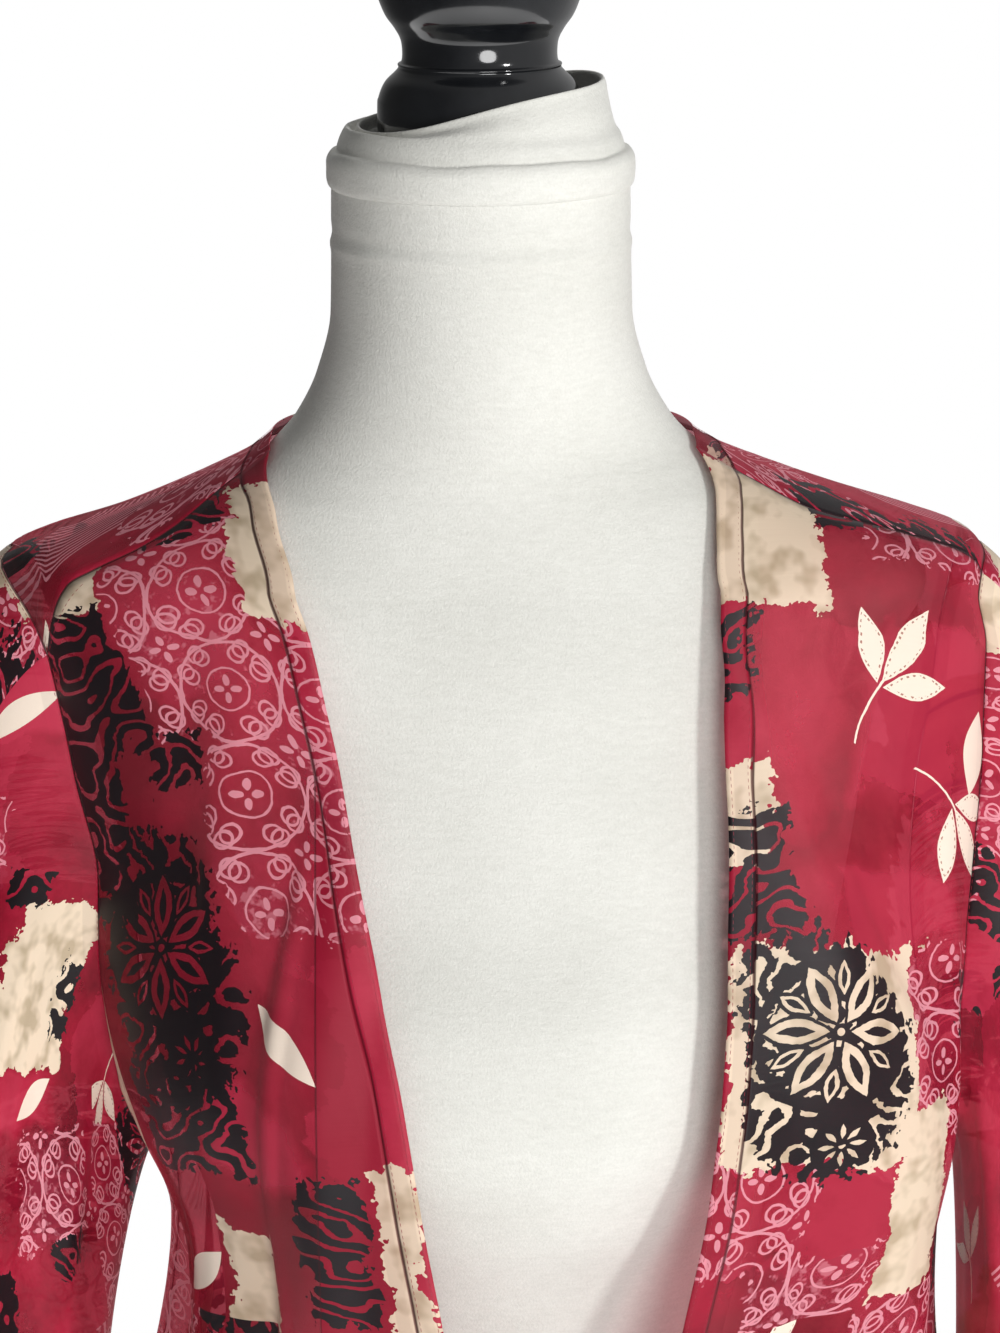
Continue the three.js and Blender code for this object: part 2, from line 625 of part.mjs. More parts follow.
function sleeveFold(turn, share) {
  let depth = 0;
  for (const fold of SLEEVE_FOLDS) {
    const along = THREE.MathUtils.smoothstep(share, fold.start, fold.start + 0.3)
      * (1 - THREE.MathUtils.smoothstep(share, fold.end - 0.2, fold.end));
    depth += fold.depth * along * bump(turnBetween(turn, fold.turn), fold.width);
  }
  return depth;
}

// The wall follows a curve from each point of the armhole, out, over and down to the cuff.
function sleeve(side) {
  const sign = hang[side].sign;
  const size = SLEEVES[side];
  const loop = armholeLoop(side);
  const turns = loopTurns(loop);
  const middles = spread(SLEEVE_ROWS, (share) => loop.map((place, i) => {
    const outside = (1 + Math.cos(degrees(turns[i]))) / 2;
    const forward = Math.sin(degrees(turns[i]));
    const start = place.inner.clone().addScaledVector(place.into, 1.5 * SEAM_INSET);
    const leave = new THREE.Vector3(sign * 0.85, -0.25 * forward, lerp(0.9, -0.55, outside ** 0.6));
    const reach = lerp(13, 62, outside ** 0.8);
    const cuff = new THREE.Vector3(
      sign * (size.across + size.halfWidth * Math.cos(degrees(turns[i]))),
      -size.halfDepth * forward - size.forward,
      CUFF_HEIGHT,
    );
    const rise = 0.42 * (start.z - cuff.z);
    const curve = new THREE.CubicBezierCurve3(
      start,
      start.clone().addScaledVector(leave.normalize(), reach),
      cuff.clone().add(new THREE.Vector3(0, 0, rise)),
      cuff,
    );
    return curve.getPoint(share);
  }));
  const rows = middles.map((row, r) => row.map((point, c) => {
    if (r === 0) {
      return { inner: point.clone(), outer: point.clone().addScaledVector(loop[c].normal, WALL) };
    }
    const before = row[(c + row.length - 1) % row.length];
    const after = row[(c + 1) % row.length];
    const above = middles[r - 1][c];
    const below = middles[Math.min(r + 1, middles.length - 1)][c];
    const normal = after.clone().sub(before).cross(below.clone().sub(above)).normalize();
    if (side === 'left') normal.negate();
    const inner = point.clone().addScaledVector(normal, sleeveFold(turns[c], r / SLEEVE_ROWS));
    return { inner, outer: inner.clone().addScaledVector(normal, WALL) };
  }));
  const net = { places: [], cells: [] };
  addRows(net, rows, { round: true, flip: side === 'right' });
  return wallOf(`sleeve_${side}`, net, sheerCrimson, { sewn: false });
}

// ---------------------------------------------------------------- dress form
const jersey = new THREE.MeshStandardMaterial({ color: 0xeeece2, roughness: 0.9, metalness: 0 });
const blackGloss = new THREE.MeshStandardMaterial({ color: 0x111315, roughness: 0.15, metalness: 0 });
const blackMetal = new THREE.MeshStandardMaterial({ color: 0x16171a, roughness: 0.4, metalness: 0.6 });

function torso() {
  const heights = [
    ...spread(9, (share) => lerp(FORM_FOOT_HEIGHT, 1050, share)),
    ...spread(10, (share) => lerp(1070, 1290, share)),
    ...spread(10, (share) => lerp(1302, 1392, share)),
    1404,
    1424,
    1450,
    FORM_TOP_HEIGHT,
  ];
  const points = heights.flatMap((height) => spread(FORM_SIDES, (share) => (
    sectionPoint(form, 360 * share, height))).slice(0, -1));
  const triangles = [];
  for (let r = 0; r < heights.length - 1; r += 1) {
    for (let c = 0; c < FORM_SIDES; c += 1) {
      const next = (c + 1) % FORM_SIDES;
      const low = r * FORM_SIDES;
      const high = low + FORM_SIDES;
      triangles.push([low + c, low + next, high + next], [low + c, high + next, high + c]);
    }
  }
  const foot = points.length;
  points.push(new THREE.Vector3(0, 0, FORM_FOOT_HEIGHT), new THREE.Vector3(0, 0, FORM_TOP_HEIGHT));
  const lastRing = (heights.length - 1) * FORM_SIDES;
  for (let c = 0; c < FORM_SIDES; c += 1) {
    const next = (c + 1) % FORM_SIDES;
    triangles.push([foot, next, c], [foot + 1, lastRing + c, lastRing + next]);
  }
  return meshOf('form_torso', points, triangles, jersey);
}

// A turned piece: a profile of radius and height, closed on the axis.
function turned(name, profile, material, sides) {
  const points = profile.map(([radius, height]) => new THREE.Vector2(radius, height));
  const lathe = new THREE.LatheGeometry(points, sides);
  lathe.rotateX(Math.PI / 2);
  return { name, lathe, material };
}

const FINIAL_SEAT = FORM_TOP_HEIGHT + SEAT_GAP;

// The rolled rim and gathered cap of jersey, a ring that the finial's foot stands inside.
const NECK_CAP_PROFILE = [
  [41, FINIAL_SEAT],
  [58.8, FINIAL_SEAT],
  [60.3, FINIAL_SEAT + 3],
  [60.3, FINIAL_SEAT + 8],
  [58.7, FINIAL_SEAT + 13],
  [54.5, FINIAL_SEAT + 18],
  [50, FINIAL_SEAT + 23],
  [46.5, FINIAL_SEAT + 29],
  [44, FINIAL_SEAT + 31],
  [42, FINIAL_SEAT + 30],
  [41, FINIAL_SEAT + 27],
  [41, FINIAL_SEAT],
];
const FINIAL_PROFILE = [
  [0, FINIAL_SEAT],
  [40, FINIAL_SEAT],
  [40, FINIAL_SEAT + 30],
  [38, FINIAL_SEAT + 38],
  [33, FINIAL_SEAT + 43],
  [30, FINIAL_SEAT + 49],
  [30.5, FINIAL_SEAT + 55],
  [36, FINIAL_SEAT + 63],
  [40.5, FINIAL_SEAT + 75],
  [41.5, FINIAL_SEAT + 88],
  [39, FINIAL_SEAT + 101],
  [32, FINIAL_SEAT + 113],
  [21, FINIAL_SEAT + 121],
  [9, FINIAL_SEAT + 125],
  [0, FINIAL_SEAT + 125.5],
];
const COLLAR_TOP = FORM_FOOT_HEIGHT - SEAT_GAP;
const COLLAR_PROFILE = [
  [0, COLLAR_TOP - 46],
  [20, COLLAR_TOP - 46],
  [22, COLLAR_TOP - 42],
  [22, COLLAR_TOP - 20],
  [34, COLLAR_TOP - 10],
  [70, COLLAR_TOP - 5],
  [72, COLLAR_TOP],
  [0, COLLAR_TOP],
];
const POLE_FOOT = BASE_HEIGHT + 16 + SEAT_GAP;
const POLE_PROFILE = [
  [0, POLE_FOOT],
  [POLE_RADIUS, POLE_FOOT],
  [POLE_RADIUS, COLLAR_TOP - 46 - SEAT_GAP],
  [0, COLLAR_TOP - 46 - SEAT_GAP],
];
const BASE_PROFILE = [
  [0, 0],
  [BASE_RADIUS - 2, 0],
  [BASE_RADIUS, 3],
  [BASE_RADIUS, 8],
  [BASE_RADIUS - 6, 13],
  [BASE_RADIUS - 40, 18],
  [40, BASE_HEIGHT],
  [22, BASE_HEIGHT + 8],
  [20, BASE_HEIGHT + 16],
  [0, BASE_HEIGHT + 16],
];

// Closes a turned piece: its seam and its poles become single points.
function closeTurned({ name, lathe, material }) {
  const source = lathe.getAttribute('position');
  const points = [];
  const keys = new Map();
  const renamed = [];
  for (let i = 0; i < source.count; i += 1) {
    const point = new THREE.Vector3().fromBufferAttribute(source, i);
    const key = point.toArray().map((value) => Math.round(value * 1000)).join();
    if (!keys.has(key)) {
      keys.set(key, points.length);
      points.push(point);
    }
    renamed.push(keys.get(key));
  }
  const triangles = [];
  const index = lathe.getIndex();
  for (let i = 0; i < index.count; i += 3) {
    const [a, b, c] = [0, 1, 2].map((step) => renamed[index.getX(i + step)]);
    if (a !== b && b !== c && c !== a) triangles.push([a, b, c]);
  }
  return meshOf(name, points, triangles, material);
}

// ---------------------------------------------------------------- assembly
const cardigan = new THREE.Group();
cardigan.add(backPanel());
for (const side of ['left', 'right']) cardigan.add(frontPanel(side), frontBand(side), sleeve(side));
cardigan.add(backBand());

const dressForm = new THREE.Group();
dressForm.add(torso());
for (const piece of [
  turned('form_jersey_top', NECK_CAP_PROFILE, jersey, 28),
  turned('form_finial', FINIAL_PROFILE, blackGloss, 28),
  turned('form_collar', COLLAR_PROFILE, blackGloss, 20),
  turned('form_pole', POLE_PROFILE, blackMetal, 12),
  turned('form_base', BASE_PROFILE, blackMetal, 36),
]) dressForm.add(closeTurned(piece));

const kimonoCardigan = new THREE.Group();
kimonoCardigan.add(cardigan, dressForm);
export default kimonoCardigan;
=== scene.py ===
# %% [markdown]
# # A sheer kimono cardigan on a dress form
# The garment is cut from one thin printed cloth: a back, two fronts, two set-in sleeves and a
# narrow band that finishes the neck and both front edges. It hangs open on a limbless dress form
# with a black turned finial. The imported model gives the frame: every piece made here takes the
# place of one of its solids. Sizes are in millimetres until a mesh is made, and then in metres.

# %% Load the frame
import math

import bpy
import numpy as np
from mathutils import Matrix, Vector


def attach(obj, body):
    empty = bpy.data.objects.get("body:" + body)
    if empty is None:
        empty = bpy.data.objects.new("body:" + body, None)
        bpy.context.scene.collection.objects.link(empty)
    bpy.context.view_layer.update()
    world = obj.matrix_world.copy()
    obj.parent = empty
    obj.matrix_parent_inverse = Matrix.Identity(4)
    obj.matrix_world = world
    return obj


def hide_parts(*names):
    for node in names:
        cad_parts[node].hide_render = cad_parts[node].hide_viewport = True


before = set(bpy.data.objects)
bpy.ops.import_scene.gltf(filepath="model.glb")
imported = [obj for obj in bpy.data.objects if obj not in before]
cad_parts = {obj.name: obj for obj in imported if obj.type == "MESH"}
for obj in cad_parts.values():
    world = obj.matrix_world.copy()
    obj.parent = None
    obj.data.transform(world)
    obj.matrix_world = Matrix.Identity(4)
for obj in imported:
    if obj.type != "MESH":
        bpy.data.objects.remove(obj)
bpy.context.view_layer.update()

# %% [markdown]
# ## Level sections
# Both the padded form and the cloth on it are bodies of level sections. A short table says how
# far each section reaches to the left, right, front and back, and how square it is. A monotone
# curve runs through each column, so that nothing swells between two rows of a table.


# %% Tables and smooth columns
def table(columns, *rows):
    """Rows of numbers under named columns."""
    return [dict(zip(columns.split(), row)) for row in rows]


def smooth_column(rows, column, key="height"):
    """A smooth curve through a column that never swings past its values."""
    keys = np.array([row[key] for row in rows], float)
    values = np.array([row[column] for row in rows], float)
    steps = np.diff(keys)
    slopes = np.diff(values) / steps
    tangents = np.concatenate([slopes[:1], np.zeros(len(rows) - 2), slopes[-1:]])
    same_way = slopes[:-1] * slopes[1:] > 0
    sums = np.where(same_way, slopes[:-1] + slopes[1:], 1)
    tangents[1:-1] = np.where(same_way, 2 * slopes[:-1] * slopes[1:] / sums, 0)
    order = np.sign(steps[0])

    def at(x):
        x = np.asarray(x, float)
        i = np.clip(np.searchsorted(keys * order, x * order, side="right") - 1, 0, len(steps) - 1)
        t = np.clip((x - keys[i]) / steps[i], 0, 1)
        bend = t * t * (3 - 2 * t)
        swing = (1 - t) * tangents[i] - t * tangents[i + 1]
        return values[i] + (values[i + 1] - values[i]) * bend + steps[i] * t * (1 - t) * swing

    return at


def sections(rows):
    return {name: smooth_column(rows, name) for name in ("left", "right", "front", "back", "square")}


def section_point(body, azimuth, height):
    """The point that faces an azimuth: 0 is the front and 90 the right side."""
    sine, cosine = np.sin(np.radians(azimuth)), np.cos(np.radians(azimuth))
    side = np.where(sine < 0, body["left"](height), body["right"](height))
    depth = np.where(cosine > 0, body["front"](height), body["back"](height))
    square = body["square"](height)
    reach = (np.abs(sine / side) ** square + np.abs(cosine / depth) ** square) ** (-1 / square)
    return np.stack([reach * sine, -reach * cosine, height + 0 * reach], axis=-1)


# %% The form's sections and the cloth's
FORM = sections(table(
    "height left right front back square",
    (740, 164, 164, 102, 114, 2.2), (800, 170, 170, 106, 122, 2.2), (870, 162, 162, 100, 116, 2.2),
    (950, 128, 128, 88, 94, 2.2), (1000, 113, 113, 86, 84, 2.2), (1050, 116, 116, 100, 87, 2.25),
    (1085, 125, 125, 118, 92, 2.3), (1125, 136, 136, 131, 98, 2.35), (1165, 142, 142, 124, 101, 2.3),
    (1210, 149, 149, 105, 103, 2.3), (1260, 157, 157, 88, 101, 2.3), (1300, 168, 168, 77, 93, 2.3),
    (1320, 178, 178, 71, 85, 2.3), (1331, 176, 176, 67, 78, 2.3), (1340, 161, 170, 64, 73, 2.2),
    (1350, 138.4, 148.5, 61, 68, 2.1), (1360, 115.7, 122.3, 58, 64, 2.1), (1369, 93.4, 97.8, 56, 61, 2.1),
    (1380, 81.5, 81.5, 55, 60, 2), (1389, 74, 74, 55, 58.5, 2), (1406, 65.5, 65.2, 56, 58.5, 2),
    (1430, 59.6, 59.4, 57, 58.5, 2), (1480, 58.4, 58.4, 58, 58.4, 2),
))
CLOTH = sections(table(
    "height left right front back square",
    (660, 206, 218, 152, 152, 2.2), (800, 182, 198, 149, 146, 2.2), (900, 158, 191, 146, 136, 2.2),
    (1000, 133, 187, 143, 124, 2.25), (1055, 131, 188, 141, 117, 2.3), (1080, 137, 191.5, 140.5, 114, 2.35),
    (1108, 149, 195.5, 140, 112, 2.4), (1135, 158, 198.5, 138, 111, 2.4), (1165, 163, 200, 131, 111, 2.4),
    (1210, 167, 202, 114, 112, 2.5), (1260, 175, 203, 97, 109, 2.6), (1300, 184, 203, 85, 101, 2.6),
    (1320, 190, 200, 78, 94, 2.6), (1331, 193, 200, 74, 88, 2.5), (1336, 184, 197, 71, 85, 2.4),
    (1343, 161, 180, 68, 81, 2.3), (1353, 135.4, 148.6, 64.5, 76, 2.2), (1363, 112.2, 120, 61.5, 71.5, 2.2),
    (1372, 94.2, 97.2, 59.5, 67.5, 2.2), (1380, 84.5, 84.5, 58.5, 64.5, 2.1), (1390, 77, 77, 58, 62, 2),
))
HEM_HEIGHT = 660
UNDERARM_HEIGHT = 1080
CUFF_HEIGHT = 905
BAND_WIDTH = 10
NECK_POINT_AZIMUTH = 77
FORM_FOOT, FORM_TOP = 740, 1480
print("form", FORM["right"](1125).round(1), "cloth", CLOTH["right"](1125).round(1), "mm at the bust")

# %% [markdown]
# ## Folds
# Sheer cloth that hangs from the shoulders breaks into soft, uneven folds: a few deep ones below
# the bust and many shallow creases that fan from where the cloth is held. Each fold is a smooth
# trough or ridge that leans as it falls, forms over its first 120 mm and deepens to the hem. The
# cloth never sinks into the form: a fold stops a little clear of it.

# %% Fold tables
LARGE_FOLDS = table(
    "azimuth width depth top bottom lean",
    (-27, 5, 6, 1290, 640, -0.5), (-36, 6, -5, 1180, 640, -0.6), (-64, 7, -5, 1330, 1170, 3),
    (-52, 9, 9, 1130, 600, 0.5), (-68, 8, -8, 1110, 600, 1), (-84, 8, 9, 1060, 600, 0),
    (58, 5, -5, 1330, 1150, 4), (50, 6, 5, 1270, 1020, 4), (67, 5, 6, 1200, 620, 0),
    (42, 8, -6, 1100, 600, -1), (80, 7, -7, 1060, 600, 1), (100, 8, 9, 1060, 600, -1),
    (118, 8, -8, 1150, 600, -1), (134, 9, 10, 1180, 600, 1), (152, 8, -7, 1190, 600, 0),
    (168, 8, 9, 1150, 600, 1), (184, 8, -6, 1200, 600, -0.5), (201, 9, 9, 1170, 600, -0.5),
    (219, 8, -8, 1190, 600, 0.5), (236, 9, 10, 1150, 600, 0), (254, 8, -8, 1100, 600, 1),
)
CREASES = table(
    "azimuth width depth top bottom lean",
    (-60, 2.2, -2.2, 1345, 1190, 6), (-50, 2.0, 1.6, 1330, 1180, 3), (-74, 2.4, -2.0, 1200, 1010, 4),
    (-44, 2.2, 1.4, 1240, 1060, 2), (-33, 1.3, 2.2, 1260, 640, -0.3), (-40, 2.4, 1.8, 1120, 700, -1.5),
    (-58, 2.6, -2.4, 1120, 760, 2), (-78, 2.6, 2.2, 1130, 820, -2), (54, 1.8, -2.0, 1325, 1130, 7),
    (48, 1.8, 1.6, 1335, 1180, 5), (62, 2.0, -1.6, 1310, 1160, 4), (70, 1.8, 2.0, 1240, 1040, 1),
    (74, 2.0, -2.4, 1180, 900, -1), (60, 1.8, 1.8, 1100, 760, 1), (50, 2.2, -2.0, 1140, 820, -2),
    (88, 2.4, 2.2, 1140, 800, 1), (108, 2.2, -2.4, 1260, 1010, 4), (126, 2.4, 2.0, 1290, 1090, -3),
    (143, 2.6, -2.2, 1260, 1010, 2), (160, 2.4, 1.8, 1240, 900, -1), (176, 2.4, -1.8, 1280, 1060, 1),
    (192, 2.4, 2.0, 1250, 960, 1), (210, 2.6, -2.2, 1270, 1020, -2), (228, 2.4, 2.0, 1290, 1080, 3),
    (246, 2.4, -2.4, 1250, 1000, -4), (262, 2.4, 2.2, 1140, 820, 1),
)
CLEARANCE = 2.0


def smoothstep(x, low, high):
    t = np.clip((x - low) / (high - low), 0, 1)
    return t * t * (3 - 2 * t)


def bump(distance, width):
    t = np.abs(distance) / width
    return np.where(t < 1, (1 - np.minimum(t, 1) ** 2) ** 2, 0)


def turn_between(azimuth, other):
    return (azimuth - other + 180) % 360 - 180


def fold_depth(azimuth, height):
    """How far the folds and creases move the cloth out."""
    depth = np.zeros(np.broadcast(azimuth, height).shape)
    for fold in LARGE_FOLDS + CREASES:
        drop = fold["top"] - height
        centre = fold["azimuth"] + fold["lean"] * drop / 100
        forming = smoothstep(drop, 0, 120 if fold in LARGE_FOLDS else 45)
        deeper = 1 + np.maximum(drop, 0) / 600
        fade = smoothstep(height, fold["bottom"], fold["bottom"] + 60)
        shape = bump(turn_between(azimuth, centre), 2 * fold["width"])
        depth += fold["depth"] * forming * deeper * fade * shape
    return depth


def cloth_point(azimuth, height, folded=True):
    point = section_point(CLOTH, azimuth, height)
    reach = np.hypot(point[..., 0], point[..., 1])
    form = section_point(FORM, azimuth, np.minimum(height, FORM_TOP))
    nearest = np.minimum(np.hypot(form[..., 0], form[..., 1]) + CLEARANCE, reach)
    hung = np.maximum(reach + fold_depth(azimuth, height), nearest) if folded else reach
    return point * np.stack([hung / reach, hung / reach, np.ones_like(reach)], axis=-1)


def unit(vectors):
    return vectors / np.maximum(np.linalg.norm(vectors, axis=-1, keepdims=True), 1e-9)


def cloth_normal(azimuth, height):
    around = cloth_point(azimuth + 0.5, height) - cloth_point(azimuth - 0.5, height)
    down = cloth_point(azimuth, height - 1) - cloth_point(azimuth, height + 1)
    return unit(np.cross(down, around))


print("folds:", len(LARGE_FOLDS), "large and", len(CREASES), "small")

# %% [markdown]
# ## Seams
# A seam is a path of places on the cloth, each an azimuth and a height. The neck seam and the
# front edges are read from tables, and the shoulder seams and the backs of the armholes are
# smooth curves through a few places.

# %% Seam tables
FRONT_EDGES = table(
    "height left right",
    (660, 9, 58), (800, 7, 56), (900, 7, 58), (1000, 9, 66), (1064, 18.2, 77.6), (1092, 23, 83),
    (1123, 27.6, 87), (1148, 31.5, 89.8), (1190, 40, 92.3), (1237, 48.2, 93), (1293, 60.4, 91.4),
    (1318, 66.6, 90.4), (1337, 72.6, 89.8), (1352, 78, 89.8),
    (1362, 80.5, 90.2),
)
NECKLINE = table(
    "azimuth seam edge",
    (77, 1369, 1377.5), (90, 1373.2, 1381.5), (115, 1372.8, 1382), (145, 1370, 1380),
    (180, 1367.5, 1377.5),
)
ARMHOLE_FRONT = table(
    "height left right",
    (1334, 90, 90), (1329.5, 83, 84.5), (1317, 78, 82), (1302, 75.5, 82), (1277, 74, 81),
    (1251, 72.5, 79.7), (1214, 69.5, 77), (1181, 69.5, 75.2), (1140, 71.5, 75), (1108, 77, 78),
    (1088, 84, 84.5), (UNDERARM_HEIGHT, 90, 90),
)
ARMHOLE_BACK = table(
    "height left right",
    (1334, 90, 90), (1329.5, 97, 96.5), (1316, 102, 101), (1296, 105, 104), (1265, 107, 106),
    (1220, 109, 107.5), (1175, 109.5, 107.5), (1135, 107, 105.5), (1105, 102, 101), (1087, 95.5, 95),
    (UNDERARM_HEIGHT, 90, 90),
)
SHOULDER_SEAMS = {
    "left": {"end": 1302, "passes": [(117, 36), (143, 45)]},
    "right": {"end": 1327, "passes": [(125, 31), (160, 29)]},
}
ARMHOLE_ROWS = 11
SIDE_ROWS = 14
AZIMUTH_SCALE = 2.8
neck_seam = smooth_column(NECKLINE, "seam", "azimuth")
neck_edge = smooth_column(NECKLINE, "edge", "azimuth")


# %% Paths of places
def path(places):
    """A smooth path through (azimuth, height) places, evenly by length from 0 to 1."""
    points = np.array(places, float) * (AZIMUTH_SCALE, 1)
    ends = [2 * points[0] - points[1], *points, 2 * points[-1] - points[-2]]
    t = np.linspace(0, 1, 60)[:, None]
    run = []
    for before, start, end, after in zip(ends, ends[1:], ends[2:], ends[3:]):
        a, b, c = (np.sqrt(np.linalg.norm(q - p)) for p, q in ((before, start), (start, end), (end, after)))
        leave = b * ((start - before) / a - (end - before) / (a + b) + (end - start) / b)
        arrive = b * ((end - start) / b - (after - start) / (b + c) + (after - end) / c)
        run.append(
            start * (1 + 2 * t) * (1 - t) ** 2 + end * t * t * (3 - 2 * t)
            + leave * t * (1 - t) ** 2 - arrive * t * t * (1 - t)
        )
    line = np.concatenate(run)
    length = np.concatenate([[0], np.cumsum(np.linalg.norm(np.diff(line, axis=0), axis=1))])
    share_of = length / length[-1]

    def at(share):
        across = np.interp(share, share_of, line[:, 0]) / AZIMUTH_SCALE
        return np.stack([across, np.interp(share, share_of, line[:, 1])], axis=-1)

    return at


def front_azimuth(side, across, height):
    """The azimuth at which the front of the cloth is a distance from the middle."""
    square = CLOTH["square"](height)
    share = np.minimum(across / CLOTH[side](height), 1)
    forward = CLOTH["front"](height) * (1 - share**square) ** (1 / square)
    return np.degrees(np.arctan2(across, forward))


def shoulder_place(side, across, forward):
    """The place on the shoulders over a point seen from above."""
    low, high = 1280.0, 1390.0
    while high - low > 0.01:
        middle = (low + high) / 2
        square = CLOTH["square"](middle)
        depth = CLOTH["front" if forward > 0 else "back"](middle)
        inside = (across / CLOTH[side](middle)) ** square + abs(forward / depth) ** square < 1
        low, high = (middle, high) if inside else (low, middle)
    return math.degrees(math.atan2(across, forward)), low


def front_line(side, column, offset):
    rows = [
        {"height": row["height"], "azimuth": float(front_azimuth(side, row[side] + offset, row["height"]))}
        for row in FRONT_EDGES
    ]
    rows.append({"height": NECKLINE[0][column], "azimuth": NECK_POINT_AZIMUTH})
    return smooth_column(rows, "azimuth")


# %% Each side's seams
HANG = {}
for side in ("left", "right"):
    seam = SHOULDER_SEAMS[side]
    armhole_azimuth = smooth_column(ARMHOLE_FRONT[::-1], side)
    end = (float(armhole_azimuth(seam["end"])), seam["end"])
    over = [(r[side], r["height"]) for r in ARMHOLE_FRONT if r["height"] > seam["end"] + 1][::-1]
    passes = [shoulder_place(side, *place) for place in seam["passes"]][::-1]
    HANG[side] = {
        "sign": -1 if side == "left" else 1,
        "top": seam["end"],
        "armhole_azimuth": armhole_azimuth,
        "seam_azimuth": front_line(side, "seam", BAND_WIDTH),
        "edge_azimuth": front_line(side, "edge", 0),
        "shoulder": path([end, *passes, (NECK_POINT_AZIMUTH, NECKLINE[0]["seam"])]),
        "ridge": path([over[-1], (90, float(neck_seam(90)))]),
        "cap_armhole": path([end, *over]),
        "back_armhole": path([(r[side], r["height"]) for r in ARMHOLE_BACK]),
    }
    print(side, "shoulder seam ends at", [round(v, 1) for v in end])


def close_at_ends(share):
    return 0.4 * share + 0.6 * (1 - np.cos(np.pi * share)) / 2


def outer_heights(top, rows):
    """Heights down a panel's outer edge. The underarm is at row 11 and the hem at row 25."""
    armhole = top + (UNDERARM_HEIGHT - top) * close_at_ends(np.minimum(rows / ARMHOLE_ROWS, 1))
    below = (np.maximum(rows, ARMHOLE_ROWS) - ARMHOLE_ROWS) / SIDE_ROWS
    return armhole + (HEM_HEIGHT - UNDERARM_HEIGHT) * below


def band_heights(part, rows):
    heights = outer_heights(part["top"], rows)
    share = (part["top"] - heights) / (part["top"] - HEM_HEIGHT)
    return heights + (NECKLINE[0]["seam"] - part["top"]) * (1 - share) ** 2


def fill_panel(top_row, bottom_row, first_column, last_column):
    """Fills a panel between four borders. The top border's bends fade quickly down the rows."""
    share = np.linspace(0, 1, len(top_row))[None, :, None]
    fade = ((1 - np.linspace(0, 1, len(first_column))) ** 3)[:, None, None]
    sides = first_column[:, None] * (1 - share) + last_column[:, None] * share
    ends = bottom_row[None] * (1 - fade) + top_row[None] * fade
    low = bottom_row[0] * (1 - share) + bottom_row[-1] * share
    high = top_row[0] * (1 - share) + top_row[-1] * share
    return sides + ends - (low * (1 - fade) + high * fade)


# %% [markdown]
# ## From a grid of places to a sheet of cloth
# A panel is a grid of places. Each place becomes a point a little outside the cloth's inner face,
# so the thin sheet lies inside the thicker wall of its solid. Two things are kept with the mesh:
# the cloth's own flat measure in a UV map, so that the print has its real size on every panel, and
# the distance to the nearest sewn edge, so that seams can look denser. A Solidify modifier gives
# the sheet its two faces.

# %% Mesh helpers
SHEET_LIFT = 0.6
SHEET_THICKNESS = 0.5
MM = 0.001
WHOLE = bpy.context.scene.collection


def new_mesh(name, points, faces, smooth=True):
    mesh = bpy.data.meshes.new(name)
    mesh.from_pydata([tuple(p) for p in np.asarray(points) * MM], [], faces)
    mesh.polygons.foreach_set("use_smooth", [smooth] * len(mesh.polygons))
    mesh.update()
    piece = bpy.data.objects.new(name, mesh)
    WHOLE.objects.link(piece)
    return piece


def grid_faces(rows, columns, flip=False, round_=False, first=0):
    faces = []
    for r in range(rows - 1):
        for c in range(columns if round_ else columns - 1):
            n = (c + 1) % columns
            cell = [first + r * columns + c, first + (r + 1) * columns + c,
                    first + (r + 1) * columns + n, first + r * columns + n]
            faces.append(cell[::-1] if flip else cell)
    return faces


def run_lengths(grid, axis):
    """Lengths summed along a grid's rows (axis 1) or columns (axis 0)."""
    steps = np.linalg.norm(np.diff(grid, axis=axis), axis=-1)
    start = np.zeros_like(np.take(steps, [0], axis=axis))
    return np.concatenate([start, np.cumsum(steps, axis=axis)], axis=axis)


def keep_edge(piece, edge):
    kept = piece.data.attributes.new("edge", "FLOAT", "POINT")
    kept.data.foreach_set("value", (np.asarray(edge).ravel() * MM).astype(np.float32))


def set_maps(piece, flat, edge):
    """Keeps each point's place on the flat cloth and its distance to a sewn edge, in metres."""
    loops = np.empty(len(piece.data.loops), int)
    piece.data.loops.foreach_get("vertex_index", loops)
    layer = piece.data.uv_layers.new(name="cloth")
    layer.data.foreach_set("uv", (np.asarray(flat).reshape(-1, 2)[loops] * MM).ravel())
    keep_edge(piece, edge)


def thicken(piece, thickness):
    """Gives a sheet two faces. The inner one takes the piece's second material."""
    solid = piece.modifiers.new("two faces", "SOLIDIFY")
    solid.thickness = thickness * MM
    solid.offset = 0
    solid.use_even_offset = True
    solid.material_offset = 1


def lifted(places, sign=1, lift=SHEET_LIFT):
    azimuth, height = sign * places[..., 0], places[..., 1]
    return cloth_point(azimuth, height) + lift * cloth_normal(azimuth, height)


def flat_area(grid):
    a, b = np.diff(grid, axis=0)[:, :-1], np.diff(grid, axis=1)[:-1]
    return float(np.linalg.norm(np.cross(a, b), axis=-1).sum()) * MM * MM


CUTS, PANELS, SEAM_LINES = {}, {}, {}


def add_panel(name, piece, grid, thickness=SHEET_THICKNESS):
    """Keeps a panel, gives it its thickness and notes the size of the cut that its grid needs."""
    thicken(piece, thickness)
    PANELS[name] = piece
    width = float(run_lengths(grid, 1)[:, -1].max()) * MM
    length = float(run_lengths(grid, 0)[-1].max()) * MM
    CUTS[name] = {"flat": (width, length), "area": flat_area(grid)}
    print(f"{name}: cut {width * 1000:.0f} x {length * 1000:.0f} mm, {CUTS[name]['area']:.3f} m2")


# %% [markdown]
# ## The two fronts
# Each front runs from the forward shoulder seam to the hem, and from the armhole and side seam to
# the band. Its grid is filled between those four borders.

# %% Fronts
FRONT_GRID = (150, 84)


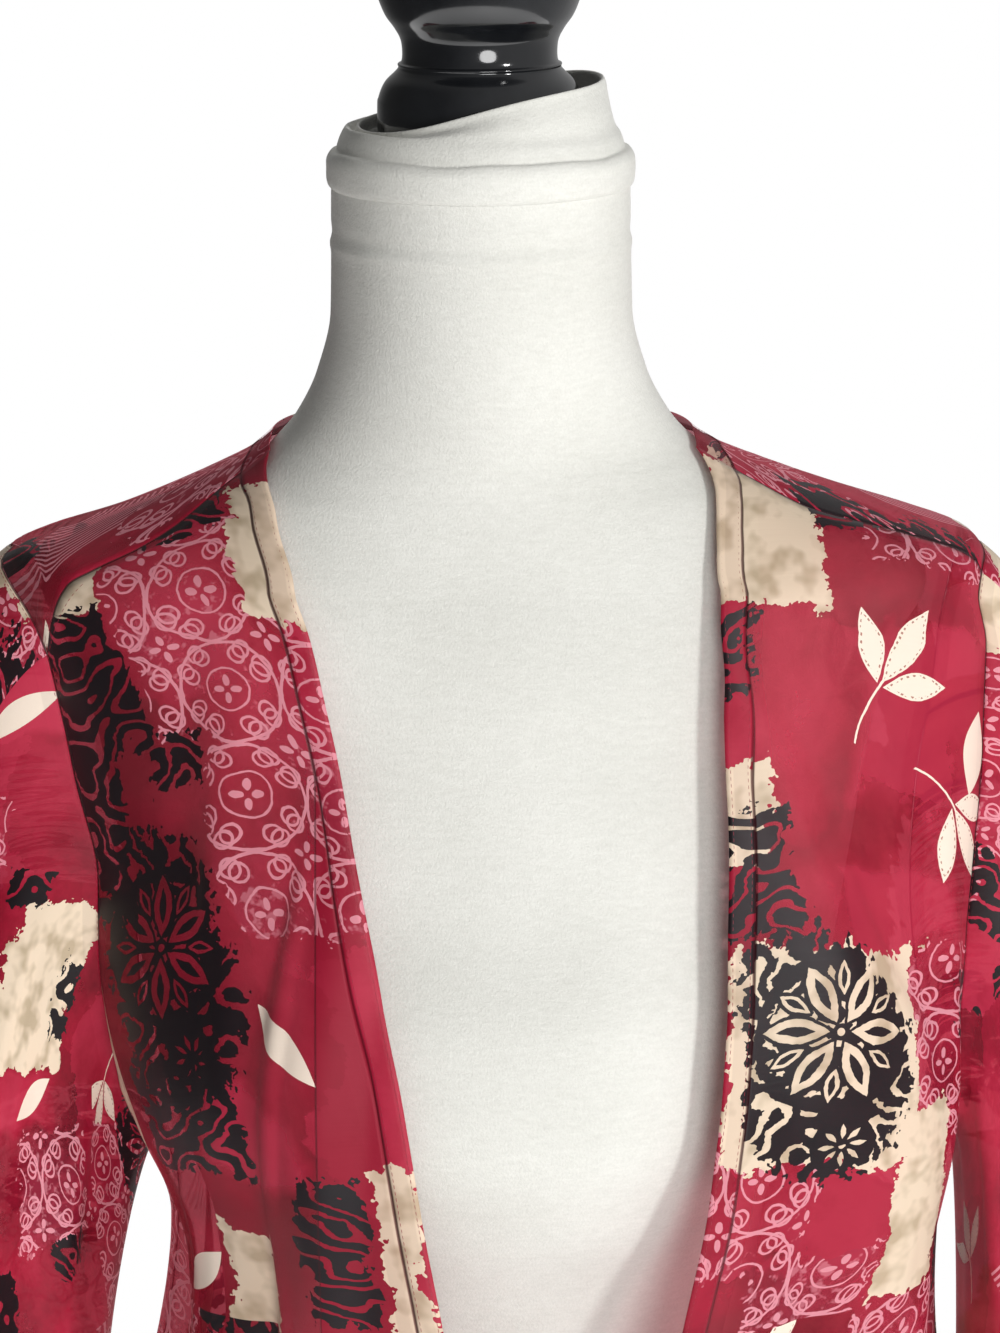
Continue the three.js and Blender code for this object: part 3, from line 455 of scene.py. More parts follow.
def front_places(side):
    part = HANG[side]
    rows = np.linspace(0, ARMHOLE_ROWS + SIDE_ROWS, FRONT_GRID[0])
    share = np.linspace(0, 1, FRONT_GRID[1])
    heights = outer_heights(part["top"], rows)
    outer = np.stack([np.where(rows < ARMHOLE_ROWS, part["armhole_azimuth"](heights), 90), heights], -1)
    level = band_heights(part, rows)
    band = np.stack([part["seam_azimuth"](level), level], -1)
    bottom = np.stack([90 + (band[-1, 0] - 90) * share, np.full_like(share, HEM_HEIGHT)], -1)
    return fill_panel(part["shoulder"](share), bottom, outer, band)


for side in ("left", "right"):
    places = front_places(side)
    sign = HANG[side]["sign"]
    grid = lifted(places, sign)
    even = cloth_point(sign * places[..., 0], places[..., 1], folded=False)
    across, down = run_lengths(even[:, ::-1], 1)[:, ::-1], run_lengths(even, 0)
    up = down[-1:] - down
    edge = np.minimum(np.minimum(across, run_lengths(even, 1)), down)
    piece = new_mesh(f"cardigan_front_{side}", grid.reshape(-1, 3),
                     grid_faces(*FRONT_GRID, flip=side == "right"))
    set_maps(piece, np.stack([across, up], -1), edge)
    add_panel(f"front_{side}", piece, grid)
    SEAM_LINES[f"shoulder_{side}"] = grid[1]
    SEAM_LINES[f"hem_front_{side}"] = grid[-4]

# %% [markdown]
# ## The back
# The back is one panel. Its main grid starts on the ridge of the shoulders and the neck seam, and
# on each side a short strip carries it forward over the ridge to the shoulder seam.

# %% Back
BACK_GRID = (130, 61, 61)          # rows, columns along each shoulder, columns round the neck
CAP_STEPS = 10


def turned_about(places):
    return np.stack([360 - places[..., 0], places[..., 1]], -1)


def back_outer(side, rows):
    heights = outer_heights(0, rows)
    below = np.stack([np.full_like(rows, 90.0), heights], -1)
    armhole = HANG[side]["back_armhole"](np.minimum(rows / ARMHOLE_ROWS, 1))
    return np.where((rows < ARMHOLE_ROWS)[:, None], armhole, below)


def back_places():
    rows = np.linspace(0, ARMHOLE_ROWS + SIDE_ROWS, BACK_GRID[0])
    shoulder = np.linspace(0, 1, BACK_GRID[1])
    azimuth = np.linspace(90, 270, BACK_GRID[2])
    neck = np.stack([azimuth, neck_seam(np.minimum(azimuth, 360 - azimuth))], -1)
    top = np.concatenate([
        HANG["right"]["ridge"](shoulder),
        neck[1:-1],
        turned_about(HANG["left"]["ridge"](1 - shoulder)),
    ])
    share = np.linspace(0, 1, len(top))
    bottom = np.stack([90 + 180 * share, np.full_like(share, HEM_HEIGHT)], -1)
    return fill_panel(top, bottom, back_outer("right", rows), turned_about(back_outer("left", rows)))


def cap_places(side):
    """The strip over a shoulder's ridge, from the ridge forward to the seam."""
    part = HANG[side]
    along = np.linspace(0, 1, BACK_GRID[1])
    rows = []
    for share in np.linspace(0, 1, CAP_STEPS + 1):
        ridge, seam = part["ridge"](along), part["shoulder"](along)
        flat = (section_point(CLOTH, part["sign"] * ridge[:, 0], ridge[:, 1]) * (1 - share)
                + section_point(CLOTH, part["sign"] * seam[:, 0], seam[:, 1]) * share)
        row = np.array([shoulder_place(side, abs(p[0]), -p[1]) for p in flat])
        row[0] = part["cap_armhole"](1 - share)
        azimuth = 90 + (NECK_POINT_AZIMUTH - 90) * share
        row[-1] = azimuth, neck_seam(azimuth)
        rows.append(ridge if share == 0 else seam if share == 1 else row)
    return np.array(rows)


main = back_places()
caps = {side: cap_places(side) for side in ("left", "right")}
main_grid = lifted(main)
even = cloth_point(main[..., 0], main[..., 1], folded=False)
middle = even.shape[1] // 2
across = run_lengths(even, 1)
across = across - across[:, middle:middle + 1]
down = run_lengths(even, 0)
up = down[-1:] - down
edge = np.minimum(run_lengths(even, 1), run_lengths(even[:, ::-1], 1)[:, ::-1])
edge[:, BACK_GRID[1]:-BACK_GRID[1]] = np.minimum(edge, down)[:, BACK_GRID[1]:-BACK_GRID[1]]
points, flat, edges = [main_grid.reshape(-1, 3)], [np.stack([across, up], -1).reshape(-1, 2)], [edge.ravel()]
faces = grid_faces(*main_grid.shape[:2])
for side in ("right", "left"):
    sign = HANG[side]["sign"]
    strip = lifted(caps[side], sign)
    strip_even = cloth_point(sign * caps[side][..., 0], caps[side][..., 1], folded=False)
    forward = run_lengths(strip_even, 0)
    columns = np.arange(BACK_GRID[1]) if side == "right" else main_grid.shape[1] - 1 - np.arange(BACK_GRID[1])
    first = sum(len(p) for p in points)
    ids = np.arange(CAP_STEPS * BACK_GRID[1]).reshape(CAP_STEPS, -1) + first
    ids = np.concatenate([columns[None], ids])
    for r in range(CAP_STEPS):
        for c in range(BACK_GRID[1] - 1):
            cell = [int(v) for v in (ids[r, c], ids[r + 1, c], ids[r + 1, c + 1], ids[r, c + 1])]
            faces.append(cell[::-1] if side == "right" else cell)
    points.append(strip[1:].reshape(-1, 3))
    flat.append(np.stack([np.broadcast_to(across[0, columns], forward.shape),
                          up[0, columns] + forward], -1)[1:].reshape(-1, 2))
    run = run_lengths(strip_even, 1)
    edges.append(np.minimum(forward[-1] - forward, np.minimum(run, run[:, -1:] - run))[1:].ravel())
back = new_mesh("cardigan_back", np.concatenate(points), faces)
set_maps(back, np.concatenate(flat), np.concatenate(edges))
add_panel("back", back, main_grid)
SEAM_LINES["hem_back"] = main_grid[-4]

# %% [markdown]
# ## The band
# A narrow double strip of the same cloth finishes the neck and both front edges. It lies a little
# prouder than the panels, and its free edge is a soft fold.

# %% Bands
BAND_ROWS = 190
BAND_COLUMNS = 7
BAND_PROUD = 0.35
BAND_THICKNESS = 0.55


def band_profile(share):
    """How far a double strip stands out between its edges, in millimetres."""
    return BAND_PROUD * np.sin(np.pi * np.clip(share, 0.02, 0.98)) ** 0.5


def add_band(name, places, sign=1, flip=False):
    share = np.linspace(0, 1, BAND_COLUMNS)
    normal = cloth_normal(sign * places[..., 0], places[..., 1])
    base = cloth_point(sign * places[..., 0], places[..., 1])
    grid = base + (SHEET_LIFT + band_profile(share)[None, :, None]) * normal
    even = cloth_point(sign * places[..., 0], places[..., 1], folded=False)
    across, along = run_lengths(even, 1), run_lengths(even, 0)
    piece = new_mesh(f"cardigan_{name}", grid.reshape(-1, 3), grid_faces(*grid.shape[:2], flip=flip))
    set_maps(piece, np.stack([-across, along[-1:] - along], -1), across)
    add_panel(name, piece, grid, BAND_THICKNESS)
    SEAM_LINES[name] = grid[:, 1]
    return grid


for side in ("left", "right"):
    part = HANG[side]
    level = band_heights(part, np.linspace(0, ARMHOLE_ROWS + SIDE_ROWS, BAND_ROWS))
    rise = (NECKLINE[0]["edge"] - NECKLINE[0]["seam"]) * (1 - np.linspace(0, 1, BAND_ROWS)) ** 12
    seam = np.stack([part["seam_azimuth"](level), level], -1)
    edge_line = np.stack([part["edge_azimuth"](level + rise), level + rise], -1)
    share = np.linspace(0, 1, BAND_COLUMNS)[None, :, None]
    places = seam[:, None] * (1 - share) + edge_line[:, None] * share
    grid = add_band(f"band_{side}", places, part["sign"], flip=side == "right")
    SEAM_LINES[f"edge_{side}"] = grid[:, -2]

azimuths = np.linspace(NECK_POINT_AZIMUTH, 360 - NECK_POINT_AZIMUTH, 121)
folded_azimuths = np.minimum(azimuths, 360 - azimuths)
share = np.linspace(0, 1, BAND_COLUMNS)[None, :]
heights = neck_seam(folded_azimuths)[:, None] * (1 - share) + neck_edge(folded_azimuths)[:, None] * share
places = np.stack([np.broadcast_to(azimuths[:, None], heights.shape), heights], -1)
add_band("band_back", places, flip=True)

# %% [markdown]
# ## The sleeves
# A set-in sleeve is a tube that starts on the armhole and ends at an open cuff. A curve leads from
# each point of the armhole out over the shoulder or under the arm, and down to the cuff.

# %% Sleeves
SLEEVES = {
    "left": {"across": 217.5, "forward": -2, "half_width": 46.5, "half_depth": 60},
    "right": {"across": 247, "forward": -2, "half_width": 43, "half_depth": 60},
}
SLEEVE_FOLDS = table(
    "turn width depth start end",
    (60, 26, -6, 0.25, 1.2), (118, 24, -7, 0.15, 1.1), (20, 24, 5, 0.3, 1.2), (235, 28, -7, 0.2, 1.2),
    (300, 26, -5, 0.3, 1.2), (75, 9, 2.0, 0.05, 0.9), (95, 8, -2.2, 0.1, 0.8), (40, 9, -1.8, 0.1, 1.0),
    (140, 10, 2.4, 0.05, 0.7), (215, 9, 2.0, 0.1, 0.8), (255, 9, -2.0, 0.2, 1.0), (330, 10, 2.0, 0.2, 1.1),
    (5, 9, -1.6, 0.25, 1.1), (280, 9, 2.0, 0.1, 0.7), (345, 10, -1.8, 0.05, 0.6),
)
SLEEVE_GRID = (110, 120)
SEAM_INSET = 0.3


def armhole_loop(side):
    """Points down the front of the armhole and up its back, with the way out and into the hole."""
    part = HANG[side]
    rows = np.linspace(0, ARMHOLE_ROWS, 56)
    heights = outer_heights(part["top"], rows)
    front = np.stack([part["armhole_azimuth"](heights), heights], -1)
    behind = part["back_armhole"](np.linspace(0, 1, 56))[1:-1][::-1]
    cap = part["cap_armhole"](1 - np.linspace(0, 1, 11))[:-1]
    places = np.concatenate([front, behind, cap])
    azimuth, height = part["sign"] * places[:, 0], places[:, 1]
    points = cloth_point(azimuth, height)
    normals = cloth_normal(azimuth, height)
    along = np.roll(points, -1, 0) - np.roll(points, 1, 0)
    into = unit(np.cross(normals, along))
    wrong = np.sum(into * (points.mean(0) - points), -1) < 0
    into[wrong] *= -1
    return points, normals, into, len(front) - 1


def loop_turns(points, underarm):
    """How far round the sleeve each point leads: 0 is the outside and 180 the body side."""
    lengths = np.linalg.norm(np.roll(points, -1, 0) - points, axis=1)
    turns = 360 * np.concatenate([[0], np.cumsum(lengths)[:-1]]) / lengths.sum()
    top = turns[np.argmax(points[:, 2])]
    front = (turns[underarm] - top) % 360
    past = (turns - top) % 360
    return np.where(past <= front, 180 * past / front, 180 + 180 * (past - front) / (360 - front))


def sleeve_fold(turn, share):
    depth = np.zeros(np.broadcast(turn, share).shape)
    for fold in SLEEVE_FOLDS:
        along = smoothstep(share, fold["start"], fold["start"] + 0.3)
        along = along * (1 - smoothstep(share, fold["end"] - 0.2, fold["end"]))
        depth += fold["depth"] * along * bump(turn_between(turn, fold["turn"]), fold["width"])
    return depth


for side in ("left", "right"):
    part, size = HANG[side], SLEEVES[side]
    points, normals, into, underarm = armhole_loop(side)
    turns = loop_turns(points, underarm)
    outside, forward = (1 + np.cos(np.radians(turns))) / 2, np.sin(np.radians(turns))
    start = points + 1.5 * SEAM_INSET * into
    leave = unit(np.stack([
        np.full_like(turns, part["sign"] * 0.85),
        -0.25 * forward,
        0.9 + (-0.55 - 0.9) * outside**0.6,
    ], -1))
    reach = 13 + (62 - 13) * outside**0.8
    cuff = np.stack([
        part["sign"] * (size["across"] + size["half_width"] * np.cos(np.radians(turns))),
        -size["half_depth"] * forward - size["forward"],
        np.full_like(turns, CUFF_HEIGHT),
    ], -1)
    rise = np.zeros_like(cuff)
    rise[:, 2] = 0.42 * (start[:, 2] - cuff[:, 2])
    t = np.linspace(0, 1, SLEEVE_GRID[0])[:, None, None]
    middles = (start * (1 - t) ** 3 + 3 * (start + leave * reach[:, None]) * t * (1 - t) ** 2
               + 3 * (cuff + rise) * t * t * (1 - t) + cuff * t**3)
    around = np.roll(middles, -1, 1) - np.roll(middles, 1, 1)
    normal = unit(np.cross(around, np.gradient(middles, axis=0))) * part["sign"]
    normal[0] = normals
    grid = middles + (sleeve_fold(turns[None], t[..., 0])[..., None] + SHEET_LIFT) * normal
    grid[0] = start + SHEET_LIFT * normals
    closed = np.concatenate([grid, grid[:, :1]], 1)
    closed_middles = np.concatenate([middles, middles[:, :1]], 1)
    rows, columns = grid.shape[:2]
    piece = new_mesh(f"cardigan_sleeve_{side}", grid.reshape(-1, 3),
                     grid_faces(rows, columns, flip=side == "right", round_=True))
    across = run_lengths(closed_middles, 1)
    down = run_lengths(closed_middles, 0)
    mesh = piece.data
    layer = mesh.uv_layers.new(name="cloth")
    for polygon in mesh.polygons:
        wraps = {mesh.loops[i].vertex_index % columns for i in polygon.loop_indices} == {0, columns - 1}
        for i in polygon.loop_indices:
            r, c = divmod(mesh.loops[i].vertex_index, columns)
            c = columns if wraps and c == 0 else c
            layer.data[i].uv = across[r, c] * MM, (down[-1, c] - down[r, c]) * MM
    keep_edge(piece, down[:, :-1])
    add_panel(f"sleeve_{side}", piece, closed)
    SEAM_LINES[f"armhole_{side}"] = closed[1]
    SEAM_LINES[f"cuff_{side}"] = closed[-5]

# %% [markdown]
# ## The padded form
# The torso is a padded body under a fine jersey cover. It follows the same level sections as its
# solid, with many more points, and the cover wrinkles a little under the rim of the neck.

# %% Torso
TORSO_COLUMNS = 160


def torso_points():
    rows = np.concatenate([
        np.linspace(FORM_FOOT, 1300, 110), np.linspace(1303, 1400, 60), np.linspace(1402, FORM_TOP, 50),
    ])
    azimuth = np.linspace(0, 360, TORSO_COLUMNS, endpoint=False)
    grid = section_point(FORM, azimuth[None], rows[:, None])
    wrinkle = 0.9 * np.exp(-(((rows - 1457) / 2.2) ** 2)) - 0.7 * np.exp(-(((rows - 1462) / 2.5) ** 2))
    uneven = 0.6 + 0.4 * np.sin(np.radians(azimuth * 3 + 40)) * np.sin(np.radians(azimuth * 2))
    push = wrinkle[:, None] * uneven[None]
    outward = unit(grid * (1, 1, 0))
    return grid + push[..., None] * outward


def capped(name, grid, low, high):
    """A closed piece of rings, with a point on the axis at its foot and one at its crown."""
    rows, columns = grid.shape[:2]
    points = np.concatenate([grid.reshape(-1, 3), [[0, 0, low], [0, 0, high]]])
    faces = [cell[::-1] for cell in grid_faces(rows, columns, round_=True)]
    foot, crown, last = rows * columns, rows * columns + 1, (rows - 1) * columns
    faces += [[foot, c, (c + 1) % columns] for c in range(columns)]
    faces += [[crown, last + (c + 1) % columns, last + c] for c in range(columns)]
    return new_mesh(name, points, faces)


torso = capped("form_padded_torso", torso_points(), FORM_FOOT, FORM_TOP)
print("torso", len(torso.data.polygons), "faces")

# %% [markdown]
# ## Turned pieces and the gathered neck
# The finial, collar, pole and base are turned: a profile swept round the axis. The jersey is folded
# over the top of the neck into a low rolled rim, and its raw edge slants across the finial's foot.


# %% A lathe
def fine_profile(profile, steps=6, lift=0):
    """A smooth curve through a profile's points over a height. Repeated points stay sharp."""
    points = np.array([(radius, lift + height) for radius, height in profile], float)
    out = [points[0]]
    padded = [points[0], *points, points[-1]]
    for before, start, end, after in zip(padded, padded[1:], padded[2:], padded[3:]):
        if np.allclose(start, end):
            continue
        leave = 0 if np.allclose(before, start) else (end - before) / 2
        arrive = 0 if np.allclose(end, after) else (after - start) / 2
        for t in np.linspace(0, 1, steps + 1)[1:]:
            out.append(start * (1 + 2 * t) * (1 - t) ** 2 + end * t * t * (3 - 2 * t)
                       + leave * t * (1 - t) ** 2 - arrive * t * t * (1 - t))
    return np.array(out)


def lathe(name, profile, sides=96):
    """Turns a profile of (radius, height) that starts and ends on the axis, from below to above."""
    rings = [p for p in profile if p[0] > 1e-6]
    turn = np.radians(np.linspace(0, 360, sides, endpoint=False))
    grid = np.array([[(r * math.sin(a), -r * math.cos(a), z) for a in turn] for r, z in rings])
    return capped(name, grid, profile[0][1], profile[-1][1])


# %% Turned pieces
SEAT = FORM_TOP + 0.3
finial = lathe("form_turned_finial", fine_profile([
    (0, 0), (0, 0), (39.5, 0), (39.5, 0), (40, 2), (40, 28), (39.4, 33), (37, 38.5), (33, 42.5),
    (31.6, 44.2), (31.8, 45.6), (30.4, 46.6), (30, 50), (30.6, 55), (33, 59.5), (36.5, 64.5),
    (39.4, 72), (41.2, 81), (41.4, 90), (39.4, 100), (35, 109.5), (28, 117), (19, 122), (9, 124.8),
    (0, 125.5), (0, 125.5),
], lift=SEAT))
COLLAR_TOP = 739.7
collar = lathe("form_turned_collar", fine_profile([
    (0, -46), (0, -46), (20, -46), (20, -46), (21.6, -43), (22, -38), (21.6, -24), (24, -17),
    (33, -10.5), (52, -7), (69, -5), (71.6, -3), (72, -1), (71, 0), (71, 0), (0, 0), (0, 0),
], lift=COLLAR_TOP), 72)
pole = lathe("form_steel_pole", fine_profile([
    (0, 40.3), (0, 40.3), (13.4, 40.3), (13.4, 40.3), (14, 41), (14, 41), (14, 692.6), (14, 692.6),
    (13.4, 693.4), (13.4, 693.4), (0, 693.4), (0, 693.4),
], 3), 48)
base = lathe("form_weighted_base", fine_profile([
    (0, 0), (0, 0), (197, 0), (197, 0), (198.5, 0.3), (200, 2.5), (200, 7.5), (198.6, 10.4),
    (194, 12.6), (160, 17.6), (100, 21), (40, 23.6), (27, 26), (22.4, 31), (21, 38),
    (20, 40), (20, 40), (0, 40), (0, 40),
]), 144)
print("turned pieces:", finial.name, collar.name, pole.name, base.name)

# %% The gathered neck
RIM_SIDES = 180


def neck_profile(azimuth):
    """The jersey's section at one azimuth: rolled rim, slope, slanting raw edge and inner face."""
    a = math.radians(azimuth)
    edge = 31 + 9.5 * math.sin(a) + 1.2 * math.sin(3 * a + 0.6)
    tuck = 0.7 * math.sin(5 * a) + 0.4 * math.sin(11 * a + 1)
    lean = 48.2 - 2.2 * math.cos(a) + 0.6 * math.sin(4 * a)
    return fine_profile([
        (58.2, -1.6), (59.5, -0.4), (60.2, 2.2), (60.3 + 0.2 * tuck, 6.5), (60, 10 + 0.4 * tuck),
        (58.3, 12.6 + 0.5 * tuck), (56.3, 13.2 + 0.6 * tuck), (55.8, 15.2 + 0.6 * tuck),
        (54.6, 18.5 + 0.5 * tuck), (52.4, 22 + 0.3 * tuck), (50.6, 0.45 * edge + 11),
        (lean + 0.8, edge - 3), (lean, edge - 0.4), (lean - 0.8, edge), (lean - 1.5, edge - 1),
        (lean - 1.2, edge - 5), (46.4, 17), (44.6, 9), (42.4, 3), (42, 0.4),
    ], 3)


rings = [neck_profile(azimuth) for azimuth in np.linspace(0, 360, RIM_SIDES, endpoint=False)]
turn = np.radians(np.linspace(0, 360, RIM_SIDES, endpoint=False))
grid = np.array([[(p[0] * math.sin(a), -p[0] * math.cos(a), SEAT + p[1]) for a, p in zip(turn, row)]
                 for row in zip(*rings)])
jersey_top = new_mesh("form_gathered_neck", grid.reshape(-1, 3),
                      [cell[::-1] for cell in grid_faces(*grid.shape[:2], round_=True)])
CUTS["neck"] = {"area": flat_area(np.concatenate([grid, grid[:, :1]], 1))}
print("gathered neck, jersey area m2:", round(CUTS["neck"]["area"], 4))

# %% [markdown]
# ## Shader sums
# A socket wrapped in a small class can be used in ordinary Python sums, and each sum adds the Math
# node it needs. Every other node comes from one method.


# %% The signal class and the finish builder
def plug(tree, target, value):
    if isinstance(value, Signal):
        tree.links.new(value.socket, target)
    elif isinstance(value, bpy.types.NodeSocket):
        tree.links.new(value, target)
    else:
        target.default_value = value


class Signal:
    """A socket that can be used in sums."""

    def __init__(self, socket):
        self.socket = socket

    def math(self, operation, *values):
        """Adds a Math node. None among the values stands for this signal."""
        tree = self.socket.id_data
        node = tree.nodes.new("ShaderNodeMath")
        node.operation = operation
        values = values if None in [v if v is None else 0 for v in values] else (None, *values)
        for target, value in zip(node.inputs, values):
            plug(tree, target, self if value is None else value)
        return Signal(node.outputs[0])

    def __add__(self, other): return self.math("ADD", other)
    def __radd__(self, other): return self.math("ADD", other)
    def __sub__(self, other): return self.math("SUBTRACT", other)
    def __rsub__(self, other): return self.math("SUBTRACT", other, None)
    def __mul__(self, other): return self.math("MULTIPLY", other)
    def __rmul__(self, other): return self.math("MULTIPLY", other)
    def __truediv__(self, other): return self.math("DIVIDE", other)
    def __neg__(self): return self.math("MULTIPLY", -1.0)
    def __abs__(self): return self.math("ABSOLUTE")
    def __lt__(self, other): return self.math("LESS_THAN", other)
    def __gt__(self, other): return self.math("GREATER_THAN", other)
    def __or__(self, other): return self.math("MAXIMUM", other)
    def __and__(self, other): return self.math("MINIMUM", other)


def ramp(signal, low, high):
    """0 below low and 1 above high, and straight between."""
    node = signal.socket.id_data.nodes.new("ShaderNodeMapRange")
    plug(node.id_data, node.inputs["Value"], signal)
    node.inputs["From Min"].default_value = low
    node.inputs["From Max"].default_value = high
    return Signal(node.outputs["Result"])


class Finish:
    """A material under construction."""

    def __init__(self, name):
        self.material = bpy.data.materials.new(name)
        self.material.use_nodes = True
        self.tree = self.material.node_tree
        self.tree.nodes.clear()

    def node(self, kind, settings=None, **sockets):
        """Adds a node. In a socket's name an underscore stands for a space."""
        node = self.tree.nodes.new(kind)
        for name, value in (settings or {}).items():
            setattr(node, name, value)
        for name, value in sockets.items():
            plug(self.tree, node.inputs[name.replace("_", " ")], value)
        return node

    def point(self, x, y, z=0.0):
        return self.node("ShaderNodeCombineXYZ", X=x, Y=y, Z=z).outputs[0]

    def split(self, vector):
        node = self.node("ShaderNodeSeparateXYZ", Vector=vector)
        return [Signal(output) for output in node.outputs]

    def mix(self, factor, one, other):
        """one where the factor is 0, and other where it is 1. Both are colours."""
        node = self.node("ShaderNodeMix", {"data_type": "RGBA"})
        colours = [(*c, 1.0) if isinstance(c, tuple) else c for c in (one, other)]
        for socket, value in zip((node.inputs[0], node.inputs[6], node.inputs[7]), (factor, *colours)):
            plug(self.tree, socket, value)
        return node.outputs[2]

    def noise(self, vector, size, detail=2.0, rough=0.5, kind="3D"):
        return self.node("ShaderNodeTexNoise", {"noise_dimensions": kind}, Vector=vector,
                         Scale=1 / size, Detail=detail, Roughness=rough)

    def grain(self, *settings):
        return Signal(self.noise(*settings).outputs["Fac"])

    def cells(self, vector, size, scatter):
        """Voronoi cells, each with its own place and its own chances."""
        return self.node("ShaderNodeTexVoronoi", {"voronoi_dimensions": "2D"},
                         Vector=vector, Scale=1 / size, Randomness=scatter)

    def bumped(self, height, distance, strength=1.0):
        return self.node("ShaderNodeBump", Height=height, Distance=distance, Strength=strength).outputs[0]

    def surface(self, settings, **sockets):
        """Sets constants on a Principled node by name and links what varies."""
        shader = self.node("ShaderNodeBsdfPrincipled", None, **sockets)
        for name, value in settings.items():
            shader.inputs[name].default_value = value
        return shader

    def see_through(self, body, cover, tint):
        """Mixes a surface with tinted clear. cover is the surface's share."""
        clear = self.node("ShaderNodeBsdfTransparent", Color=tint)
        mixed = self.node("ShaderNodeMixShader")
        for socket, value in zip(mixed.inputs, (cover, clear.outputs[0], body.outputs[0])):
            plug(self.tree, socket, value)
        return self.close(mixed)

    def close(self, shader):
        self.node("ShaderNodeOutputMaterial", None, Surface=shader.outputs[0])
        return self.material


# %% [markdown]
# ## The printed cloth
# The print is a patchwork: washes of crimson and rose, mottled cream patches with ragged brushed
# edges, a fine pink lattice of touching rings with small blossoms, flowers on leafy black ink, cream
# three-leaf sprigs and combed fans. All of these are common motifs, drawn here from simple rules
# in millimetres of the flat cloth. The cloth is thin, so its shader mixes a coloured surface with
# a red-tinted clear one.


# %% Motifs
def far(x, y):
    return (x * x + y * y).math("SQRT")


def turned(x, y, angle):
    """The point seen in axes turned by an angle, a number or a signal."""
    if isinstance(angle, Signal):
        cosine, sine = angle.math("COSINE"), angle.math("SINE")
    else:
        cosine, sine = math.cos(angle), math.sin(angle)
    return x * cosine + y * sine, y * cosine - x * sine


def folded_petal(x, y, count, turn=0.0):
    """Folds the plane into one petal's sector: along the petal, and aside from its middle."""
    sector = 2 * math.pi / count
    angle = y.math("ARCTAN2", x) / sector + (turn / sector + 0.5)
    folded = (angle.math("FRACT") - 0.5) * sector
    reach = far(x, y)
    return reach * folded.math("COSINE"), abs(reach * folded.math("SINE"))


def petal(along, aside, inner, outer, half_width):
    """Below 0 inside a pointed petal: how far inside, in millimetres."""
    share = ramp(along, inner, outer)
    return aside - (share * math.pi).math("SINE") * half_width + ((share < 0.005) | (share > 0.995)) * 9


def scrolls(finish, x, y, size):
    """Solid leafy ink with fine curling gaps."""
    swirl = finish.grain(finish.point(x, y), size, 0.6, 0.4, "2D")
    return (swirl * 5).math("FRACT") > 0.30


def medallion(finish, x, y, ragged):
    """The ink of a floral medallion round the origin, with a small flower under it."""
    reach = far(x, y)
    along, aside = folded_petal(x, y, 6, 0.3)
    large = petal(along, aside, 3, 30, 5.8)
    along2, aside2 = folded_petal(x, y, 6, 0.3 + math.pi / 6)
    small = petal(along2, aside2, 13, 29, 3.4)
    along3, aside3 = folded_petal(x + 4, y + 46, 8, 0.1)
    flower = petal(along3, aside3, 1.5, 10.5, 1.9)
    nearest = large & small & flower
    outline = abs(nearest + 0.1) < 0.75
    veins = (large < -3.9) * (along > 9) * (along < 24) | (small < -2.2)
    ground = (far(x, y * 0.64 + 7) + ragged * 20) < 36
    round_flower = (far(x + 4, y + 46) < 12.5) * (far(x + 4, y + 46) > 1.2)
    collar_of_ink = (reach < 32) * (reach + ragged * 12 > 24)
    black = scrolls(finish, x + ragged * 5, y, 20) | round_flower | collar_of_ink
    hub = (reach < 3.4) * (reach > 1.6)
    return ground * ((black * (nearest > 0.5) | outline | veins) * (reach > 3.4)) | hub


def sprig(x, y):
    """Three leaves from a stem: their mask, their stippling and the stem."""
    middle = petal(x, abs(y), 1, 38, 6.0)
    side_x, side_y = turned(x + 1, abs(y) - 0.6, 0.85)
    beside = petal(side_x, abs(side_y), 1, 31, 5.4)
    leaf = middle & beside
    dots = ((x * 0.42).math("FRACT") < 0.45) * ((y * 0.5).math("FRACT") < 0.6)
    stipple = (abs(leaf + 1.2) < 0.42) * dots
    stem = (abs(y + x * x * 0.012) < 0.5) * (x < 2) * (x > -24)
    return leaf < 0, stipple, stem


def lattice(x, y, size):
    """Pointed stars between touching rings, with loops on the lines and four-petal blossoms."""
    a, b = abs((x / size).math("FRACT") - 0.5), abs((y / size).math("FRACT") - 0.5)
    line = 0.62 / size
    lines, blossoms = None, None
    for across, up, loop_at in ((a, b, (0.27, 0.12)), (0.5 - a, 0.5 - b, (0.34, 0.17))):
        long, short = across | up, across & up
        drawn = abs(far(long - loop_at[0], short - loop_at[1]) - 0.078) < line * 0.85
        bloom = far((long - 0.085) / 0.055, short / 0.032) < 1
        lines = drawn if lines is None else lines | drawn
        blossoms = bloom if blossoms is None else blossoms | bloom
    ring = far(0.5 - a, 0.5 - b)
    lines = lines | (abs(ring - 0.49) < line) | (abs(ring - 0.21) < line * 0.7)
    return lines, blossoms


def fan(x, y):
    """Combed arcs round a point below the origin."""
    reach, angle = far(x, y + 30), x.math("ARCTAN2", y + 30)
    ribs = (reach * 0.27 + (angle * 26).math("SINE") * 0.06).math("FRACT") < 0.42
    return ribs * (abs(angle) < 0.85) * (reach > 14) * (reach < 62)


# %% Colours
DEEP, CRIMSON, ROSE = (0.25, 0.002, 0.018), (0.50, 0.005, 0.040), (0.74, 0.030, 0.090)
CREAM, TAN = (0.88, 0.72, 0.54), (0.44, 0.34, 0.21)
PALE_LEAF, PINK_LINE, INK = (0.93, 0.79, 0.66), (0.90, 0.36, 0.43), (0.008, 0.006, 0.008)
